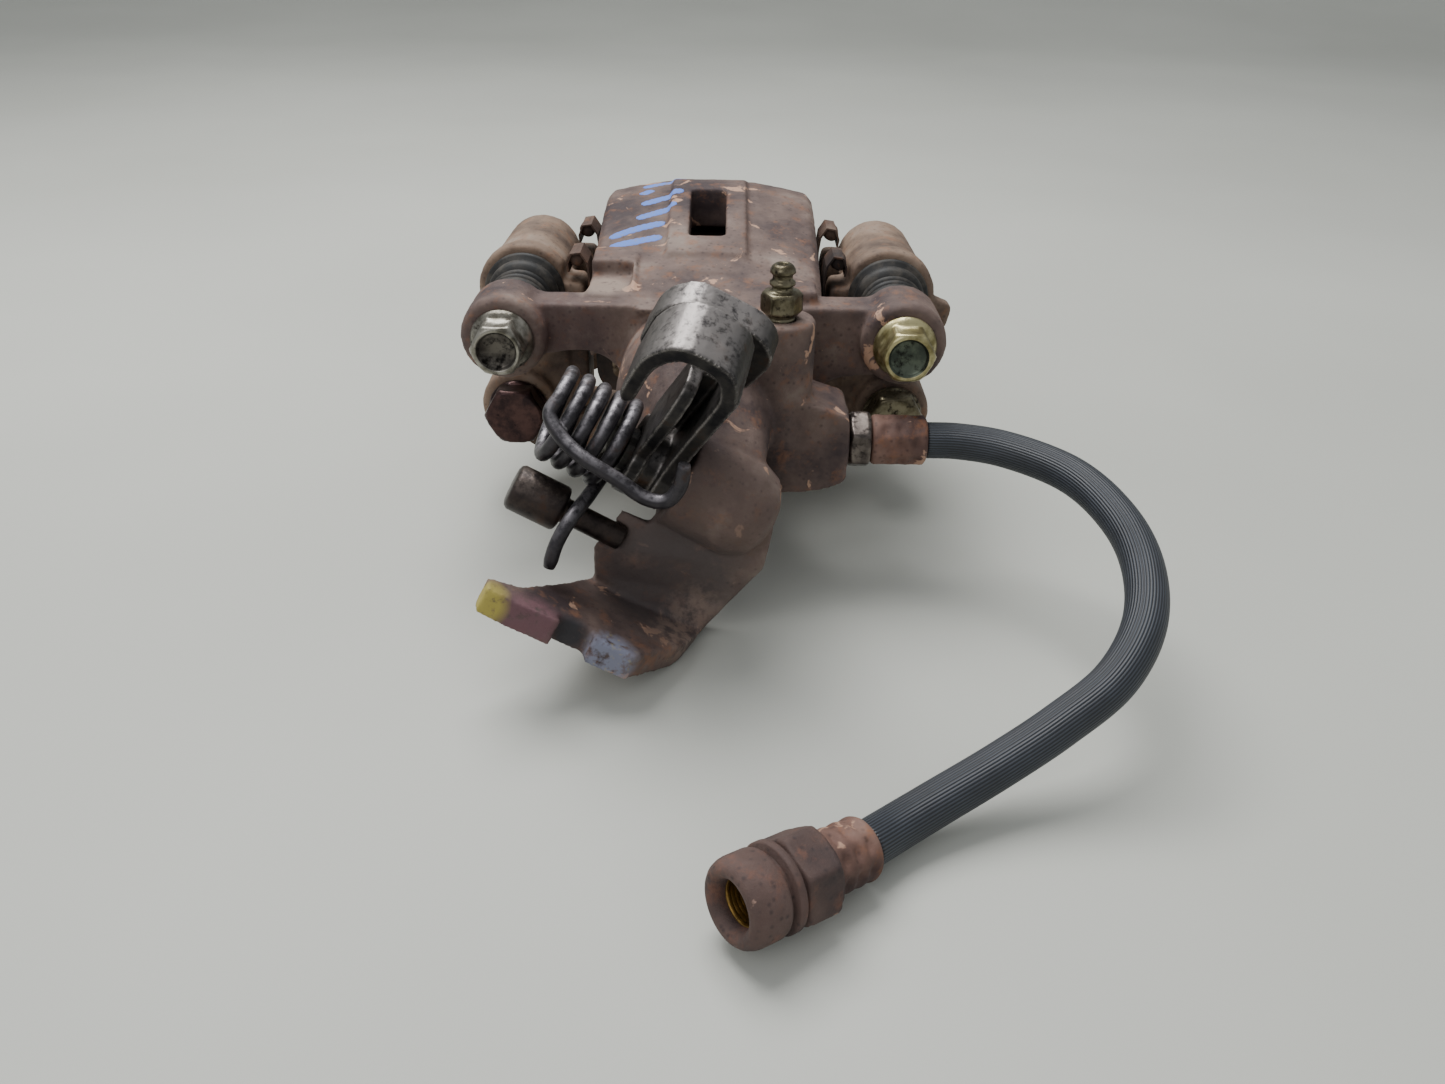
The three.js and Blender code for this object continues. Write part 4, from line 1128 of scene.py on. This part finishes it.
@dataclass
class GuideSet:
    """One guide pin with its bolt and its rubber boot."""

    side: Side
    flats: float = 14.0
    finish: Finish = DULL_ZINC
    face: Finish = DARK_FACE

    def build(self) -> None:
        """Make the bolt and the boot, and dress the pin."""
        axis = place(self.side.value * PIN_X, 0, PIN_Z)
        out = Vector((0, -1, 0))
        bolt = revolve(
            "guide_bolt_head_" + self.side.word,
            [
                (0, -34), (3.4, -34), (3.8, -33.4), (3.8, 0.3), (8.7, 0.3), (9.15, 0.6), (9.15, 1.1),
                (8.4, 2.0), (7.9, 2.5),
                (8.08, 2.9, 1), (8.08, 8.2, 1), (7.8, 8.9, 1), (7.3, 9.6, 1), (6.7, 10.05, 1), (6.3, 10.2),
                (5.7, 10.1), (5.2, 9.4), (4.9, 9.1), (0, 9.0),
            ],
            axis, out, flats_mm=self.flats,
        )
        finish_piece(bolt, self.finish, Body.CALIPER, ["guide_bolt_" + self.side.word])
        second_finish(bolt, self.face, axis, out, 5.7, 8.9)
        away = Vector((0, 1, 0))
        profile = [
            (5.35, 23.3), (8.6, 23.3), (9.9, 23.7), (10.3, 24.6), (10.3, 25.8), (9.6, 26.7), (8.4, 27.3),
            (7.5, 27.8),
        ]
        for i in range(2):
            y = 28.2 + 4.1 * i
            profile += [
                (7.7, y), (9.4, y + 0.7), (10.15, y + 1.4), (9.9, y + 2.1), (8.2, y + 2.9), (7.5, y + 3.5),
            ]
        profile += [
            (9.2, 36.6), (10.6, 37.4), (11.2, 38.6), (11.3, 40.0), (10.9, 40.5), (11.1, 41.0),
            (12.3, 41.4),
        ]
        profile += [(12.8, 42.1), (12.8, 42.8), (12.4, 43.2), (5.35, 43.2), (5.35, 23.3)]
        boot = revolve("pin_boot_" + self.side.word, profile, axis, away, segments=56)
        finish_piece(boot, BOOT_RUBBER, Body.CALIPER, ["guide_boot_" + self.side.word])
        dress_node("guide_pin_" + self.side.word, INNER_STEEL)


@dataclass
class MountingBolt:
    """One of the two big bolts that hold the carrier to the knuckle."""

    side: Side
    finish: Finish
    centre: Point = (62.0, 38.2, 32.0)
    flats: float = 18.0

    def build(self) -> None:
        """Make the bolt with its washer face and domed head."""
        x, y, z = self.centre
        at = place(self.side.value * x, y, z)
        profile = [
            (0, -20.7), (5.0, -20.7), (6.0, -19.7), (6.0, 0.0), (9.2, 0.0), (9.75, 0.4), (9.75, 1.5),
            (9.3, 2.0), (9.5, 2.05, 1),
            (10.39, 2.6, 1), (10.39, 7.0, 1), (10.0, 7.8, 1), (9.3, 8.5, 1), (8.6, 8.9, 1), (8.0, 9.0),
            (5.0, 9.05), (0, 8.9),
        ]
        bolt = revolve(
            "mounting_screw_" + self.side.word, profile, at, Vector((0, -1, 0)), flats_mm=self.flats,
        )
        finish_piece(bolt, self.finish, Body.CARRIER, ["mounting_bolt_" + self.side.word])


@dataclass
class BleedScrew:
    """The bleed screw: thread, 10 mm hexagon and a ribbed nipple with a small bore."""

    centre: Point = (21.4, -14.0, 83.0)

    def build(self) -> None:
        """Turn the screw in one piece."""
        profile: list[tuple] = [(0, -17), (2.2, -17), (3.8, -14), (3.8, -0.6)]
        for i in range(2):
            profile += [(3.8, 0.1 + 0.7 * i), (3.3, 0.45 + 0.7 * i)]
        profile += [
            (4.9, 1.5, 1), (5.5, 1.9, 1), (5.78, 2.4, 1), (5.78, 6.2, 1), (5.4, 6.9, 1), (4.9, 7.3, 1),
            (4.2, 7.4), (3.1, 7.7),
            (2.75, 8.5), (3.0, 9.0), (3.5, 9.3), (3.5, 10.1), (3.0, 10.5), (2.7, 10.9), (2.7, 11.7),
            (3.0, 12.2), (3.5, 12.6),
            (3.4, 13.5), (2.9, 14.3), (2.3, 14.8), (1.6, 14.9), (1.15, 14.6), (1.15, 8.0), (0, 8.0),
        ]
        screw = revolve("bleed_nipple", profile, place(*self.centre), Vector((0, 0, 1)), flats_mm=10.0)
        finish_piece(screw, OLIVE_ZINC, Body.CALIPER, ["bleed_screw"])


# ---------------------------------------------------------------- parking brake


@dataclass
class ParkingBrake:
    """Lever, shaft, stop pin and return spring."""

    pivot: Point = (-14.3, -44.0, 54.4)
    shaft: Point = (0.875, 0.0, -0.485)
    stop: Point = (-41.6, -52.0, 46.4)
    coil_back: float = 17.2
    coil_radius: float = 11.1
    coil_half: float = 10.6
    turns: float = 4.61
    wire: float = 1.9
    coil_steps: int = 62
    route_steps: int = 520
    leg_bend: tuple[float, float] = (4.0, 12.5)
    lower_leg: tuple[Point, ...] = (
        (-38.2, -63, 32), (-36, -62, 38.5), (-32.6, -59.8, 44.2), (-28.4, -51.5, 47.2),
    )
    upper_leg: tuple[Point, ...] = (
        (-33.6, -57.8, 66.4), (-28, -61, 62.4), (-20, -62.4, 57.6), (-12.5, -63.6, 52.8),
        (-7.4, -64.8, 53), (-4.2, -65.2, 57.2), (-3, -65.4, 63.4),
    )

    def build(self) -> None:
        """Make the lever from its forging, and wind the spring."""
        lever = cast_copy("parking_lever", "lever_forging", 0.45, 5, 0.12, 2.5)
        finish_piece(lever, LEVER_STEEL, Body.LEVER, ["parking_lever"])
        dress_node("lever_shaft", INNER_STEEL)
        dress_node("lever_nut", DULL_ZINC)
        self.stop_pin()
        self.spring()

    def stop_pin(self) -> None:
        """A headed pin that the spring's short leg leans on."""
        profile = [
            (0, -7.5), (4.6, -7.5), (5.6, -7.1), (6.2, -6.2), (6.2, 5.8), (5.9, 6.6), (5.2, 7.0),
            (3.6, 7.3), (3.3, 7.8), (3.3, 24), (2.6, 24.6), (0, 24.6),
        ]
        pin = revolve(
            "stop_pin", profile, place(*self.stop), Vector(self.shaft).normalized(), wobble=lambda a,
            h: 0.12 * math.sin(3 * a + 0.7 * h),
        )
        finish_piece(pin, PIN_STEEL, Body.CALIPER, ["lever_stop_pin"])

    def spring(self) -> None:
        """A torsion spring: a close coil round the shaft's line and two bent legs."""
        axis = Vector(self.shaft).normalized()
        front = Vector((0, -1, 0))
        up = front.cross(axis).normalized()
        middle = Vector(self.pivot) - axis * self.coil_back
        coil = []
        for i in range(self.coil_steps + 1):
            s = i / self.coil_steps
            angle = math.radians(20) + 2 * math.pi * self.turns * (1 - s)
            centre = middle + axis * (self.coil_half * (1 - 2 * s))
            coil.append(
                centre + front * (self.coil_radius * math.cos(angle)) + up * (
                    self.coil_radius * math.sin(angle)
                )
            )
        points = [Vector(p) for p in self.lower_leg] + coil + [Vector(p) for p in self.upper_leg]
        route = smooth_route([place(*p) for p in points], self.route_steps)
        wire = sweep(
            "return_coil", route,
            lambda s: self.wire / 1000.0 * min(1.0, 0.8 + 40 * s, 0.8 + 40 * (1 - s)), 18,
        )
        # The coil and the short leg sit by the stop pin and the long leg runs on to the lever; the span past
        # the coil where it would bend is worked out, but the wire is only baked in place.
        across = (axis + front).normalized() * math.sqrt(2.0)
        start, end = (place(*(Vector(self.pivot) + across * reach)) for reach in self.leg_bend)
        finish_piece(
            wire, WIRE_STEEL, Body.CALIPER, ["return_spring"], (Body.LEVER, start, end),
        )


# ---------------------------------------------------------------- pads and piston


@dataclass
class FrictionParts:
    """Pads, clips and the piston with its inner works."""

    piston_z: float = 56.0
    finishes: dict[str, Finish] = field(
        default_factory=lambda: {
            "piston": HARD_CHROME, "piston_seal": BOOT_RUBBER, "adjuster_nut": INNER_STEEL,
            "adjuster_screw": INNER_STEEL, "push_strut": INNER_STEEL,
        }
    )

    def build(self) -> None:
        """Dress every node of the pads, clips and piston."""
        for pad in ("inner_pad", "outer_pad"):
            dress_node(pad + "_lining", FrictionLining(), 0.5)
            dress_node(pad + "_backing", BACKING_PAINT, 0.4)
            dress_node(pad + "_shim", STAINED_STAINLESS, 0.1)
        for row in ("inner", "outer"):
            for side in Side:
                dress_node(f"pad_clip_{row}_{side.word}", CLIP_STEEL, 0.1)
                self.clip_roll(f"pad_clip_{row}_{side.word}", side)
        for name, finish in self.finishes.items():
            dress_node(name, finish, 0.2)
        self.dust_boot()

    def dust_boot(self) -> None:
        """The piston's rubber boot: its bead sits in the cylinder's groove and its lip meets the piston."""
        profile = [
            (19.3, 39.7), (20.4, 39.6), (21.6, 39.6), (21.9, 40.1), (21.6, 40.6), (20.4, 40.6),
            (20.0, 40.9), (19.9, 41.2),
            (19.8, 41.5), (19.6, 41.9), (19.2, 42.35), (18.6, 42.5), (17.75, 42.45), (17.75, 41.85),
            (18.6, 41.7), (19.15, 41.5),
            (19.3, 41.3), (19.3, 40.9), (19.3, 40.6), (19.3, 39.7),
        ]
        boot = revolve(
            "piston_dust_boot", profile, place(0, 0, self.piston_z), Vector((0, 1, 0)), segments=72,
        )
        bend = (Body.PISTON, place(0, 40.6, self.piston_z), place(0, 41.8, self.piston_z))
        finish_piece(boot, BOOT_RUBBER, Body.CALIPER, ["piston_boot"], bend)

    def clip_roll(self, clip: str, side: Side) -> None:
        """The curled top of a pad clip.

        Args:
            clip: the clip's node.
            side: which side it stands on.
        """
        low, high = (Vector(corner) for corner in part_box(clip))
        top = Vector((0.5 * (low.x + high.x) + side.value * 0.0008, low.y + 0.0012, high.z - 0.0026))
        profile = [(0, 0), (1.6, 0), (2.3, 0.5), (2.5, 1.2), (2.6, 4.5), (2.4, 7.4), (1.7, 8.2), (0, 8.3)]
        roll = revolve(
            "roll_of_" + clip, profile, top, Vector((0, 1, 0)), segments=32, wobble=lambda a,
            h: 0.18 * math.sin(2 * a + 0.6 * h),
        )
        finish_piece(roll, CLIP_STEEL, Body.CARRIER)


def main() -> None:
    """Build every sub-assembly in order and report its pieces."""
    logging.basicConfig(level=logging.INFO, format="%(name)s: %(message)s")
    Stage().build()
    assemblies = [
        BrakeHose(),
        Castings(),
        GuideSet(Side.LEFT, finish=DULL_ZINC),
        GuideSet(Side.RIGHT, finish=YELLOW_ZINC, face=GREEN_FACE),
        MountingBolt(Side.LEFT, RUST_BROWN),
        MountingBolt(Side.RIGHT, OLIVE_ZINC),
        BleedScrew(),
        ParkingBrake(),
        FrictionParts(),
    ]
    for assembly in assemblies:
        LOG.info("sub-assembly %s", type(assembly).__name__)
        assembly.build()


if __name__ == "__main__":
    main()
